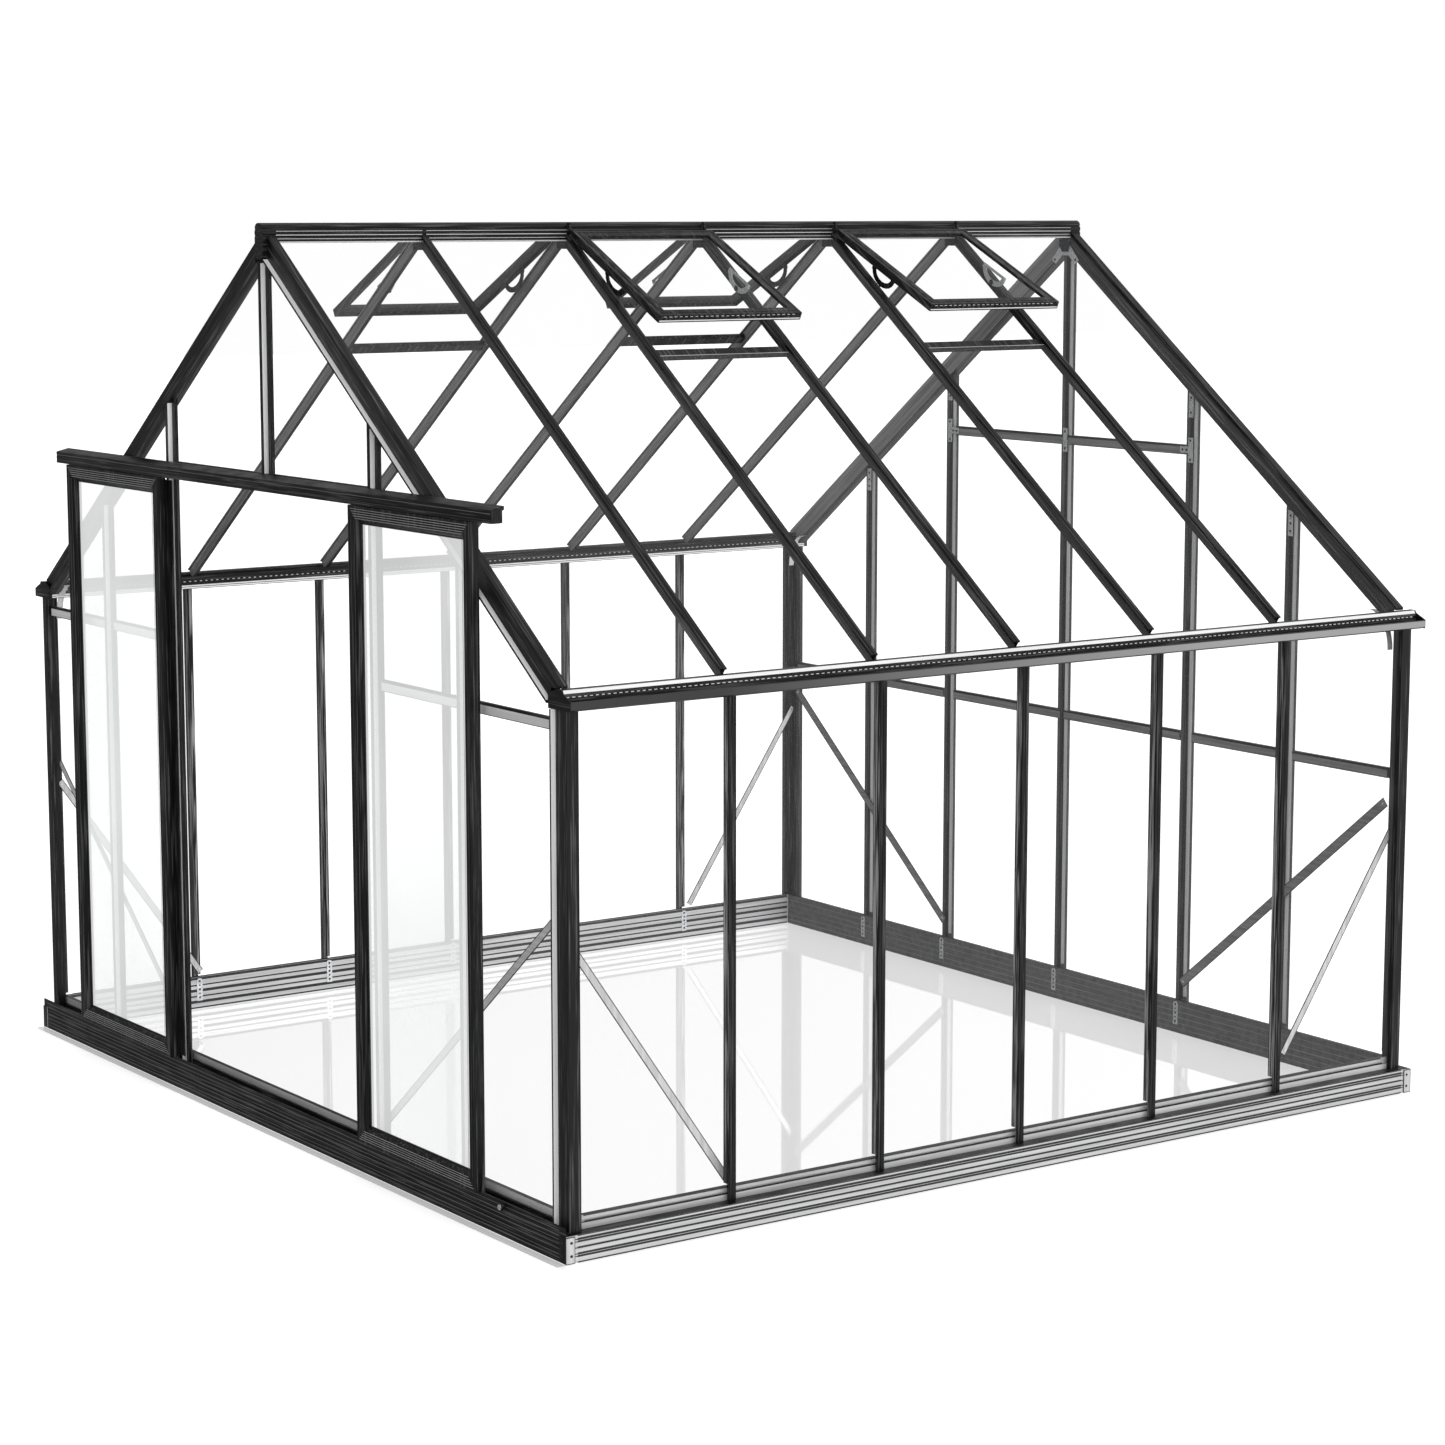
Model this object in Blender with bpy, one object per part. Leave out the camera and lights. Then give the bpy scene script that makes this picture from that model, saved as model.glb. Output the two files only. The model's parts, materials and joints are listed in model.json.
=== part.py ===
"""Walk-in gable greenhouse with double sliding doors and four roof vents.

Metres, +Z up. The door gable faces -Y, the ridge runs along Y, and the origin is on the ground under the
middle of the whole object. Neighbouring pieces keep a gap of about 0.3 mm.
"""

import math

import bmesh
import bpy
from mathutils import Matrix, Vector

# ---------------------------------------------------------------- driving dimensions
GAP = 0.0003
BAY = 0.62  # side bar spacing, six bays
HALF_W = 2.0  # half width of the base frame, corner plates included
Y_FRONT, Y_REAR = -1.8975, 1.9325  # outer faces of the base frame
Y_MID = (Y_FRONT + Y_REAR) / 2
BAR_Y = [Y_MID + BAY * k for k in (-2, -1, 0, 1, 2)]

PLATE = 0.003  # corner plate thickness, and how far the base rails stand behind the plates' faces
PLATE_LEG = 0.036
LEDGE_Z, LEDGE_D = 0.092, 0.048  # the base rails' outer ledge
SILL_Z = 0.136  # the glazing sill behind it
RAIL_D = 0.075

BAR_W, BAR_D, BAR_WEB = 0.027, 0.043, 0.016  # glazing bars of the side walls and the roof
BAR_CAP = 0.006
WALL_X = 1.970  # outer face of the side bars
GUTTER_Z = 1.786  # underside of the gutters
EAVE_X, EAVE_Z = 1.918, 1.865  # lower end of the roof bars' outer face
PITCH = math.radians(36.2)
RIDGE_X = 0.0305  # where bars and rafters meet the ridge beam
RIDGE_UNDER, RIDGE_BLOCK = 3.222, 0.045  # underside of the ridge beam, and the depth of its blocks from a gable's face

GABLE_IN = 0.035  # the gable bars' flanges stand this far behind the base frame's face
FRONT, REAR = Y_FRONT + GABLE_IN, Y_REAR - GABLE_IN
FLANGE_W, FLANGE_T = 0.066, 0.014
RIB_W, RIB_D = 0.022, 0.018
STUD_X, JAMB_X = 1.34, 0.765  # gable bars, on both sides of the middle one
POST_LIP_X = 1.896  # the corner posts' forward lip
BRACE_H = 0.040
FRONT_BRACE_Z, REAR_BRACE_Z, REAR_TOP_BRACE_Z = 1.735, 1.225, 2.385
RAFTER_W, RAFTER_D, RAFTER_LIP = 0.065, 0.035, 0.009

TRACK_FACE = -1.9325
TRACK_HALF, TRACK_D = 1.64, 0.035
TRACK_Z, TRACK_TOP = 2.352, 2.396
HEADER_TOP = 2.408
LEAF_W, LEAF_D, LEAF_STILE = 0.80, 0.036, 0.058
LEAF_Z, LEAF_TOP = 0.124, 2.349
LEAF_LOW_X = {"left": -1.56, "right": 0.70}  # the doors stand almost fully open

VENT_L, VENT_RAIL, VENT_D, VENT_WEB = 0.654, 0.042, 0.030, 0.006
VENT_HINGE_X, VENT_LIFT = 0.050, 0.004
VENT_SILL_AT, VENT_SILL_W = 0.672, 0.040  # down the slope from the hinge
VENT_BAYS = {"right": {3: 9.0, 5: 11.0}, "left": {2: 9.0, 4: 10.0}}  # bay: opening angle in degrees

GLASS_T = 0.004
GLASS_CLEAR = 0.0005
GLASS_WEB = 0.0085  # the strip below the bars' feet that joins one side's panes

COS, SIN, TAN = math.cos(PITCH), math.sin(PITCH), math.tan(PITCH)
SIDES = {"left": -1, "right": 1}
CORNERS = {"fl": (-1, -1), "fr": (1, -1), "rl": (-1, 1), "rr": (1, 1)}
FINISHES = {  # colour, metallic, roughness, alpha
    "coated": ((0.018, 0.018, 0.020, 1), 0.3, 0.38, 1.0),
    "glass": ((0.86, 0.92, 0.90, 1), 0.0, 0.05, 0.3),
}

# ---------------------------------------------------------------- scene and helpers
for old in list(bpy.data.objects):
    bpy.data.objects.remove(old, do_unlink=True)

greenhouse = bpy.data.collections.new("greenhouse")
cutters = bpy.data.collections.new("cutters")
bpy.context.scene.collection.children.link(greenhouse)
bpy.context.scene.collection.children.link(cutters)


def material_for(name, finish):
    color, metallic, roughness, alpha = FINISHES[finish]
    material = bpy.data.materials.new(name)
    material.use_nodes = True
    shader = material.node_tree.nodes["Principled BSDF"]
    shader.inputs["Base Color"].default_value = color
    shader.inputs["Metallic"].default_value = metallic
    shader.inputs["Roughness"].default_value = roughness
    shader.inputs["Alpha"].default_value = alpha
    return material


def add(name, data, matrix, finish="coated", helper=False):
    """Puts a curve or a mesh in the scene, as a piece of the greenhouse or as a hidden helper."""
    obj = bpy.data.objects.new(name, data)
    obj.matrix_world = matrix
    if helper:
        cutters.objects.link(obj)
        obj.hide_render = True
        obj.display_type = "WIRE"
    else:
        greenhouse.objects.link(obj)
        data.materials.append(material_for(name, finish))
    return obj


def plane(u, v, at=(0, 0, 0)):
    """A matrix with its X and Y axes along u and v and its origin at `at`."""
    u, v = Vector(u), Vector(v)
    return Matrix.Translation(at) @ Matrix((u, v, u.cross(v))).transposed().to_4x4()


def outline(name, points, matrix, depth, **kind):
    """A flat outline in the matrix's XY plane, extruded by `depth` along its Z axis."""
    curve = bpy.data.curves.new(name, "CURVE")
    curve.dimensions = "2D"
    curve.fill_mode = "BOTH"
    curve.extrude = depth / 2
    spline = curve.splines.new("POLY")
    spline.points.add(len(points) - 1)
    for point, (a, b) in zip(spline.points, points):
        point.co = (a, b, 0, 1)
    spline.use_cyclic_u = True
    return add(name, curve, matrix @ Matrix.Translation((0, 0, depth / 2)), **kind)


def solid(name, points, matrix, depth, cuts=(), **kind):
    """An extruded outline as a mesh, so that it can be cut and joined.

    Each cut is a point and a normal in world space, and takes away what lies beyond that plane.
    """
    rough = outline(f"{name}_outline", points, matrix, depth, helper=True)
    graph = bpy.context.evaluated_depsgraph_get()
    mesh = bpy.data.meshes.new_from_object(rough.evaluated_get(graph))
    placed = rough.matrix_world.copy()
    bpy.data.objects.remove(rough)
    work = bmesh.new()
    work.from_mesh(mesh)
    bmesh.ops.remove_doubles(work, verts=work.verts, dist=1e-6)
    to_local = placed.inverted()
    for point, normal in cuts:
        geom = work.verts[:] + work.edges[:] + work.faces[:]
        cut = bmesh.ops.bisect_plane(
            work, geom=geom, plane_co=to_local @ Vector(point),
            plane_no=to_local.to_3x3() @ Vector(normal), clear_outer=True,
        )
        edges = [e for e in cut["geom_cut"] if isinstance(e, bmesh.types.BMEdge)]
        bmesh.ops.edgeloop_fill(work, edges=edges)
    bmesh.ops.recalc_face_normals(work, faces=work.faces)
    work.to_mesh(mesh)
    work.free()
    return add(name, mesh, placed, **kind)


def block(name, size, centre, matrix, **kind):
    """A box of the given size around a centre in the matrix's axes."""
    mesh = bpy.data.meshes.new(name)
    work = bmesh.new()
    bmesh.ops.create_cube(work, size=1, matrix=Matrix.Translation(centre) @ Matrix.Diagonal((*size, 1)))
    work.to_mesh(mesh)
    work.free()
    return add(name, mesh, matrix, **kind)


def box(name, low, high, **kind):
    """A box between two corners, with its origin in its middle."""
    low, high = Vector(low), Vector(high)
    return block(name, high - low, (0, 0, 0), Matrix.Translation((low + high) / 2), **kind)


def open_frame(name, size, front, back, centre, matrix):
    """A rectangular frame, made from a box whose two broad faces are inset along a profile and opened.

    `front` and `back` list (inwards, outwards) steps of equal total width. The front faces the matrix's Z
    axis, and `centre` is the middle of the box in the matrix's axes.
    """
    mesh = bpy.data.meshes.new(name)
    work = bmesh.new()
    bmesh.ops.create_cube(work, size=1, matrix=Matrix.Translation(centre) @ Matrix.Diagonal((*size, 1)))
    work.normal_update()
    faces = sorted(work.faces, key=lambda face: face.normal.z)
    broad = ((faces[-1], front), (faces[0], back))
    for face, steps in broad:
        for inwards, outwards in steps:
            bmesh.ops.inset_individual(
                work, faces=[face], thickness=inwards, depth=outwards, use_even_offset=True
            )
    rims = [edge for face, steps in broad for edge in face.edges]
    bmesh.ops.delete(work, geom=[face for face, steps in broad], context="FACES_ONLY")
    bmesh.ops.bridge_loops(work, edges=rims)
    bmesh.ops.recalc_face_normals(work, faces=work.faces)
    work.to_mesh(mesh)
    work.free()
    return add(name, mesh, matrix)


def boolean(obj, operation, other):
    change = obj.modifiers.new(f"{operation.lower()} {other.name}", "BOOLEAN")
    change.operation = operation
    change.solver = "EXACT"
    change.object = other


def roof_z(x, n=0.0):
    """Height above a point x from the middle of the roof's outer face, moved out by n."""
    return EAVE_Z + (EAVE_X - abs(x)) * TAN + n / COS


def roof_point(sx, s, n, y):
    """A point s up the slope from the bars' lower end and n out from their outer face."""
    return Vector((sx * (EAVE_X - s * COS + n * SIN), y, EAVE_Z + s * SIN + n * COS))


# ---------------------------------------------------------------- base frame
GROOVES_Z = (0.022, 0.030, 0.050, 0.070, 0.078)
GROOVE_D = 0.002


def rail_profile(guide_lip):
    """Base rail section: grooved outer face at 0, ledge, stepped sill, and inner face at minus RAIL_D."""
    points = [(-RAIL_D, 0), (0, 0)]
    for z in GROOVES_Z:
        points += [(0, z - 0.0015), (-GROOVE_D, z - 0.001), (-GROOVE_D, z + 0.001), (0, z + 0.0015)]
    if guide_lip:
        points += [(0, 0.120), (-0.003, 0.120), (-0.003, LEDGE_Z)]
    else:
        points += [(0, LEDGE_Z)]
    points += [(-LEDGE_D, LEDGE_Z), (-LEDGE_D, 0.112), (-0.056, 0.112), (-0.056, SILL_Z)]
    return points + [(-RAIL_D, SILL_Z)]


def base_rails():
    """Four mitred rails, each run from one corner to the next."""
    x, front, rear = HALF_W - PLATE, Y_FRONT + PLATE, Y_REAR - PLATE
    starts = [(x, front, 0), (-x, front, 0), (-x, rear, 0), (x, rear, 0)]
    outwards = {"front": (0, -1, 0), "left": (-1, 0, 0), "rear": (0, 1, 0), "right": (1, 0, 0)}
    for number, (side, out) in enumerate(outwards.items()):
        out, start, end = Vector(out), Vector(starts[number]), Vector(starts[(number + 1) % 4])
        along = (end - start).normalized()
        cuts = [(start + along * GAP, -along - out), (end - along * GAP, along - out)]
        profile = rail_profile(side == "front")
        solid(f"base_rail_{side}", profile, plane(out, (0, 0, 1), start), (end - start).length, cuts)


def base_corner(name, sx, sy):
    y, inner = (Y_FRONT if sy < 0 else Y_REAR), PLATE - GAP
    legs = [(0, 0), (PLATE_LEG, 0), (PLATE_LEG, inner), (inner, inner), (inner, PLATE_LEG), (0, PLATE_LEG)]
    points = [(sx * (HALF_W - a), y - sy * b) for a, b in legs]
    outline(f"base_corner_{name}", points, plane((1, 0, 0), (0, 1, 0), (0, 0, 0.002)), LEDGE_Z - 0.004)


# ---------------------------------------------------------------- wall posts and bars
BAR = [
    (0, -BAR_W / 2), (0, -0.005), (-0.002, -0.004), (-0.002, -0.002), (0, -0.001), (0, BAR_W / 2),
    (-BAR_CAP, BAR_W / 2), (-BAR_CAP, BAR_WEB / 2), (-BAR_D, BAR_WEB / 2), (-BAR_D, -BAR_WEB / 2),
    (-BAR_CAP, -BAR_WEB / 2), (-BAR_CAP, -BAR_W / 2),
]
FOOT_Z = LEDGE_Z + GAP
POST_TOP = GUTTER_Z - GAP


def sill_clearance():
    """A block that lets the posts and bars step over the glazing sill inside the ledge."""
    inside = PLATE + LEDGE_D - GAP
    low = (inside - HALF_W, Y_FRONT + inside, 0)
    return box("sill_clearance", low, (HALF_W - inside, Y_REAR - inside, SILL_Z + 0.0103), helper=True)


def corner_post(name, sx, sy, clearance):
    face = FRONT if sy < 0 else REAR
    lip, back, wing = face + sy * RIB_D, face - sy * 0.018, face - sy * 0.045
    section = [
        (WALL_X, face), (POST_LIP_X + 0.009, face), (POST_LIP_X + 0.009, lip), (POST_LIP_X, lip),
        (POST_LIP_X, back), (WALL_X - BAR_D, back), (WALL_X - BAR_D, wing), (WALL_X, wing),
    ]
    points = [(sx * x, y) for x, y in section]
    matrix = plane((1, 0, 0), (0, 1, 0), (0, 0, FOOT_Z))
    post = solid(f"corner_post_{name}", points, matrix, POST_TOP - FOOT_Z)
    boolean(post, "DIFFERENCE", clearance)


def side_bars(side, sx, clearance):
    for number, y in enumerate(BAR_Y, 1):
        matrix = plane((sx, 0, 0), (0, sx, 0), (sx * WALL_X, y, FOOT_Z))
        bar = solid(f"side_bar_{side}_{number}", BAR, matrix, POST_TOP - FOOT_Z)
        boolean(bar, "DIFFERENCE", clearance)


# ---------------------------------------------------------------- gutters and ridge
def gutter(side, sx):
    """Eave rail: a trough outside, a back wall under the glass and a beam under the roof bars' ends."""
    under_bar = -BAR_D - GAP
    section = [
        (1.880, GUTTER_Z), (2.000, GUTTER_Z), (2.012, GUTTER_Z + 0.006), (2.012, 1.818), (2.007, 1.818),
        (2.007, 1.797), (1.964, 1.797), (1.964, 1.838), (1.957, 1.850), (1.927, 1.850), (1.927, 1.812),
        (1.912, roof_z(1.912, under_bar)), (1.880, roof_z(1.880, under_bar)),
    ]
    points = [(sx * x, z) for x, z in section]
    outline(f"gutter_{side}", points, plane((1, 0, 0), (0, 0, 1), (0, 1.926, 0)), 3.798)


def ridge_beam():
    """Ridge profile, shallow between the gables and with a deeper block in each gable's peak."""
    half = [
        (0.010, 3.293), (0.022, 3.287), (0.029, 3.276), (0.026, 3.273), (0.026, 3.268), (0.030, 3.265),
        (0.030, 3.253), (0.027, 3.251), (0.027, 3.246), (0.030, 3.244), (0.030, 3.190), (0.012, 3.165),
    ]
    points = half + [(-x, z) for x, z in reversed(half)]
    matrix = plane((1, 0, 0), (0, 0, 1), (0, REAR + RIB_D, 0))
    beam = solid("ridge_beam", points, matrix, REAR - FRONT + 2 * RIB_D, [])
    relief = box(
        "ridge_relief", (-0.05, FRONT + RIDGE_BLOCK, 3.150), (0.05, REAR - RIDGE_BLOCK, RIDGE_UNDER), helper=True
    )
    boolean(beam, "DIFFERENCE", relief)


# ---------------------------------------------------------------- roof bars and vent trimmers
HINGE_S = (EAVE_X - VENT_HINGE_X) / COS
VENT_SILL_S = HINGE_S - VENT_SILL_AT


def roof_bar(name, sx, y, helper=False):
    """A glazing bar up the slope, square at the eave and upright against the ridge beam."""
    matrix = plane((sx * SIN, 0, COS), (0, sx, 0), roof_point(sx, 0, 0, y))
    ridge_cut = ((sx * RIDGE_X, 0, 0), (-sx, 0, 0))
    return solid(name, BAR, matrix, EAVE_X / COS, [ridge_cut], helper=helper)


def vent_trimmer(name, sx, y0, y1):
    """The two bars beside a vent opening and the sill under the vent's lower edge, as one body."""
    first = roof_bar(name, sx, y0)
    second = roof_bar(f"{name}_second", sx, y1, helper=True)
    half = VENT_SILL_W / 2
    section = [(-0.014, -half), (-0.014, half), (-0.034, half), (-0.034, -half)]
    start = roof_point(sx, VENT_SILL_S, 0, y1 if sx > 0 else y0)
    matrix = plane((sx * SIN, 0, COS), (-sx * COS, 0, SIN), start)
    sill = solid(f"{name}_sill", section, matrix, y1 - y0, helper=True)
    boolean(first, "UNION", second)
    boolean(first, "UNION", sill)


def roof_bars(side, sx):
    trimmed = set()
    for count, bay in enumerate(VENT_BAYS[side], 1):
        vent_trimmer(f"vent_trimmer_{side}_{count}", sx, BAR_Y[bay - 2], BAR_Y[bay - 1])
        trimmed |= {bay - 1, bay}
    for number, y in enumerate(BAR_Y, 1):
        if number not in trimmed:
            roof_bar(f"roof_bar_{side}_{number}", sx, y)


# ---------------------------------------------------------------- gables
UNDER_RAFTER = -RAFTER_W - RAFTER_LIP - 0.0005  # how far the gable bars stay below the roof's face
T_BAR = [
    (-FLANGE_W / 2, -FLANGE_T), (-FLANGE_W / 2, 0), (-RIB_W / 2, 0), (-RIB_W / 2, RIB_D),
    (RIB_W / 2, RIB_D), (RIB_W / 2, 0), (FLANGE_W / 2, 0), (FLANGE_W / 2, -FLANGE_T),
]


def gable_rafter(name, sx, sy):
    """A flat rafter under the roof's edge with a lip along its lower side, standing on the gutter."""
    face = FRONT if sy < 0 else REAR
    shoulder, foot, seat = 1.925, 1.8795, 1.8505
    low = -RAFTER_W - RAFTER_LIP
    body = [
        (shoulder, roof_z(shoulder)), (shoulder, seat), (foot, seat), (foot, roof_z(foot, low)),
        (RIDGE_X, roof_z(RIDGE_X, low)), (RIDGE_X, roof_z(RIDGE_X)),
    ]
    lip = [(x, roof_z(x, n)) for x, n in ((foot, -RAFTER_W), (foot, low), (RIDGE_X, low), (RIDGE_X, -RAFTER_W))]
    back = face if sy > 0 else face + RAFTER_D
    matrix = plane((1, 0, 0), (0, 0, 1), (0, back, 0))
    rafter = solid(f"gable_rafter_{name}", [(sx * x, z) for x, z in body], matrix, RAFTER_D)
    back = face + RIB_D if sy > 0 else face + RAFTER_D / 2
    matrix = plane((1, 0, 0), (0, 0, 1), (0, back, 0))
    edge = solid(f"gable_lip_{name}", [(sx * x, z) for x, z in lip], matrix, RIB_D + RAFTER_D / 2, helper=True)
    boolean(rafter, "UNION", edge)


def gable_bar(name, x, sy, foot=FOOT_Z, helper=True):
    """An upright T bar with its rib outwards, cut along the rafter above it or level under the ridge."""
    face = FRONT if sy < 0 else REAR
    top_x = x if x else FLANGE_W / 2
    cut = ((top_x, face, roof_z(top_x, UNDER_RAFTER)), (math.copysign(SIN, x), 0, COS) if x else (0, 0, 1))
    matrix = plane((sy, 0, 0), (0, sy, 0), (x, face, foot))
    return solid(name, T_BAR, matrix, 3.3 - foot, [cut], helper=helper)


def brace(name, x0, x1, sy, z, helper=False):
    """A flat horizontal brace between the gable bars' flanges."""
    y0, y1 = (FRONT, FRONT + FLANGE_T) if sy < 0 else (REAR - FLANGE_T, REAR)
    low, high = (min(x0, x1), y0, z - BRACE_H / 2), (max(x0, x1), y1, z + BRACE_H / 2)
    return box(name, low, high, helper=helper)


def front_gable():
    post = POST_LIP_X - GAP
    for side, sx in SIDES.items():
        name = f"front_gable_bars_{side}"
        bars = brace(name, sx * post, sx * JAMB_X, -1, FRONT_BRACE_Z)
        boolean(bars, "UNION", gable_bar(f"{name}_stud", sx * STUD_X, -1))
        boolean(bars, "UNION", gable_bar(f"{name}_jamb", sx * JAMB_X, -1))
    half = JAMB_X - FLANGE_W / 2 - GAP
    box("door_header", (-half, FRONT, TRACK_Z), (half, FRONT + FLANGE_T, HEADER_TOP))
    gable_bar("front_gable_bar_centre", 0, -1, foot=HEADER_TOP + GAP, helper=False)


def rear_gable():
    post = POST_LIP_X - GAP
    bars = brace("rear_gable_bars", -post, post, 1, REAR_BRACE_Z)
    for number, x in enumerate((-STUD_X, -JAMB_X, 0, JAMB_X, STUD_X), 1):
        boolean(bars, "UNION", gable_bar(f"rear_gable_bars_{number}", x, 1))
    boolean(bars, "UNION", brace("rear_gable_bars_top", -JAMB_X, JAMB_X, 1, REAR_TOP_BRACE_Z, helper=True))


# ---------------------------------------------------------------- sliding doors
def door_track():
    """A hooded track in front of the gable; its flange reaches back over the doors to the gable's ribs."""
    face, behind, back = TRACK_FACE, TRACK_FACE + TRACK_D, FRONT - RIB_D - 0.001
    section = [(face, TRACK_Z)]
    for z in (2.366, 2.382):
        section += [(face, z - 0.003), (face + 0.002, z - 0.002), (face + 0.002, z + 0.002), (face, z + 0.003)]
    section += [(face, TRACK_TOP), (back, HEADER_TOP), (back, 2.396), (behind, 2.386), (behind, TRACK_Z)]
    outline("door_track", section, plane((0, 1, 0), (0, 0, 1), (-TRACK_HALF, 0, 0)), 2 * TRACK_HALF)


def door_leaf(side):
    """A door leaf with grooved rails, its origin in the middle of its lower front edge."""
    x, height = LEAF_LOW_X[side] + LEAF_W / 2, LEAF_TOP - LEAF_Z
    groove = [(0.0015, -0.002), (0.0030, 0), (0.0015, 0.002)]
    front = [(0.010, 0)] + groove + [(0.009, 0)] + groove + [(0.007, 0), (0.020, -0.016)]
    back = [(LEAF_STILE, 0)]
    matrix = plane((1, 0, 0), (0, 0, 1), (x, TRACK_FACE + 0.004, LEAF_Z))
    centre = Vector((0, height / 2, -LEAF_D / 2))
    open_frame(f"door_leaf_{side}", (LEAF_W, height, LEAF_D), front, back, centre, matrix)
    inset = 2 * (LEAF_STILE + GAP)
    size = (LEAF_W - inset, height - inset, GLASS_T)
    block(f"door_glass_{side}", size, centre - Vector((0, 0, 0.008)), matrix, finish="glass")


# ---------------------------------------------------------------- roof vents
def vent(name, sx, y0, y1, opening):
    """A framed pane that lies over two roof bars, with its origin on the hinge line beside the ridge."""
    tilt = PITCH - math.radians(opening)
    hinge = (sx * VENT_HINGE_X, (y0 + y1) / 2, roof_z(VENT_HINGE_X, VENT_LIFT))
    matrix = plane((sx * math.cos(tilt), 0, -math.sin(tilt)), (0, sx, 0), hinge)
    width, middle = y1 - y0 + BAR_WEB, 0.006 + VENT_L / 2
    front = [(0.012, 0), (0.0015, -0.002), (0.003, 0), (0.0015, 0.002), (VENT_RAIL - 0.018, 0)]
    back = [(VENT_WEB, 0), (0.001, -0.018), (VENT_RAIL - VENT_WEB - 0.001, 0)]
    open_frame(f"vent_frame_{name}", (VENT_L, width, VENT_D), front, back, (middle, 0, VENT_D / 2), matrix)
    inset = 2 * (VENT_WEB + 0.002)
    size = (VENT_L - inset, width - inset, GLASS_T)
    block(f"vent_glass_{name}", size, (middle, 0, VENT_D - 0.0145), matrix, finish="glass")


def vents(side, sx):
    for count, (bay, opening) in enumerate(VENT_BAYS[side].items(), 1):
        vent(f"{side}_{count}", sx, BAR_Y[bay - 2], BAR_Y[bay - 1], opening)


# ---------------------------------------------------------------- fixed glazing
def comb(sx, low, tops, ends):
    """The outline of one side's six panes, as (distance along the side, height), joined by a low strip."""
    edge = BAR_WEB / 2 + GLASS_CLEAR
    limits = [ends[0] - edge] + BAR_Y + [ends[1] + edge]
    points = [(ends[0], low)]
    for pane, top in enumerate(tops):
        left, right = limits[pane] + edge, limits[pane + 1] - edge
        if pane:
            points += [(left - 2 * edge, low + GLASS_WEB), (left, low + GLASS_WEB)]
        points += [(left, top), (right, top)]
    points += [(ends[1], low)]
    return [(sx * y, height) for y, height in points]


def side_glass(side, sx):
    wall_ends = (FRONT + 0.047, REAR - 0.047)
    wall = comb(sx, SILL_Z + 0.001, [GUTTER_Z - 0.001] * 6, wall_ends)
    matrix = plane((0, sx, 0), (0, 0, 1), (sx * 1.944, 0, 0))
    outline(f"glass_wall_{side}", wall, matrix, GLASS_T, finish="glass")

    tops = [(EAVE_X - RIDGE_X - 0.012) / COS] * 6
    for bay in VENT_BAYS[side]:
        tops[bay - 1] = VENT_SILL_S - VENT_SILL_W / 2 - 0.001
    roof_ends = (FRONT + RAFTER_D + 0.001, REAR - RAFTER_D - 0.001)
    slope = comb(sx, -0.0105, tops, roof_ends)
    matrix = plane((0, sx, 0), (-sx * COS, 0, SIN), roof_point(sx, 0, -0.018, 0))
    outline(f"glass_roof_{side}", slope, matrix, GLASS_T, finish="glass")


def gable_glass(name, y, doorway):
    """One sheet behind a gable's flanges, open at the doorway where there is one."""
    edge, apex, low, below = 1.8695, 0.034, 0.1125, UNDER_RAFTER - 0.001
    right = [(edge, low), (edge, roof_z(edge, below)), (apex, roof_z(apex, below))]
    points = right + [(-x, z) for x, z in reversed(right)]
    if doorway:
        x, z = JAMB_X - FLANGE_W / 2 + 0.004, TRACK_Z + 0.004
        points += [(-x, low), (-x, z), (x, z), (x, low)]
    outline(f"glass_gable_{name}", points, plane((1, 0, 0), (0, 0, 1), (0, y, 0)), GLASS_T, finish="glass")


# ---------------------------------------------------------------- assembly
base_rails()
clearance_block = sill_clearance()
for corner, (sign_x, sign_y) in CORNERS.items():
    base_corner(corner, sign_x, sign_y)
    corner_post(corner, sign_x, sign_y, clearance_block)
    gable_rafter(corner, sign_x, sign_y)
for hand, sign_x in SIDES.items():
    gutter(hand, sign_x)
    side_bars(hand, sign_x, clearance_block)
    roof_bars(hand, sign_x)
    side_glass(hand, sign_x)
    vents(hand, sign_x)
    door_leaf(hand)
ridge_beam()
front_gable()
rear_gable()
door_track()
gable_glass("front", FRONT + FLANGE_T + GAP + GLASS_T, doorway=True)
gable_glass("rear", REAR - FLANGE_T - GAP, doorway=False)
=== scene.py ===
"""Looks of the walk-in greenhouse: softened profiles, panes, fittings, materials, light and camera."""

import json
import math

import bmesh
import bpy
from mathutils import Matrix, Vector


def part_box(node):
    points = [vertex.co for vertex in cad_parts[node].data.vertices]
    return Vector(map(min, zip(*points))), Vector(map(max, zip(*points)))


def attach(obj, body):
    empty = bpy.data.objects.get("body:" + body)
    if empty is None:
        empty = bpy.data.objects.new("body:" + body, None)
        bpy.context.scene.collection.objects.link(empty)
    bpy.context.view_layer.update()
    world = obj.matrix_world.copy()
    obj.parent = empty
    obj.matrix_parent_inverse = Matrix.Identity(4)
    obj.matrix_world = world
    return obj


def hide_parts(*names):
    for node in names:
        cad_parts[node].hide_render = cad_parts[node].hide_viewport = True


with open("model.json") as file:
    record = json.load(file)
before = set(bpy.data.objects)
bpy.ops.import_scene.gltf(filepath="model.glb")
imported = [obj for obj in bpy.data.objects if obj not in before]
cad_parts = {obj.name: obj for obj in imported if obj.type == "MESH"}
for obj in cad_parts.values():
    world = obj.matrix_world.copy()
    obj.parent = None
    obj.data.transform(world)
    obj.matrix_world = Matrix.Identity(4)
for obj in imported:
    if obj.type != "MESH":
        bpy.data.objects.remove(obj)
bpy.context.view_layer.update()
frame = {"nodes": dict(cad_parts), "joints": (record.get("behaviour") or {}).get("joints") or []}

# ---------------------------------------------------------------- sizes read from the frame
HOUSE = "house"
SIDES = {"left": -1, "right": 1}
ENDS = {"front": -1, "rear": 1}
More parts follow.
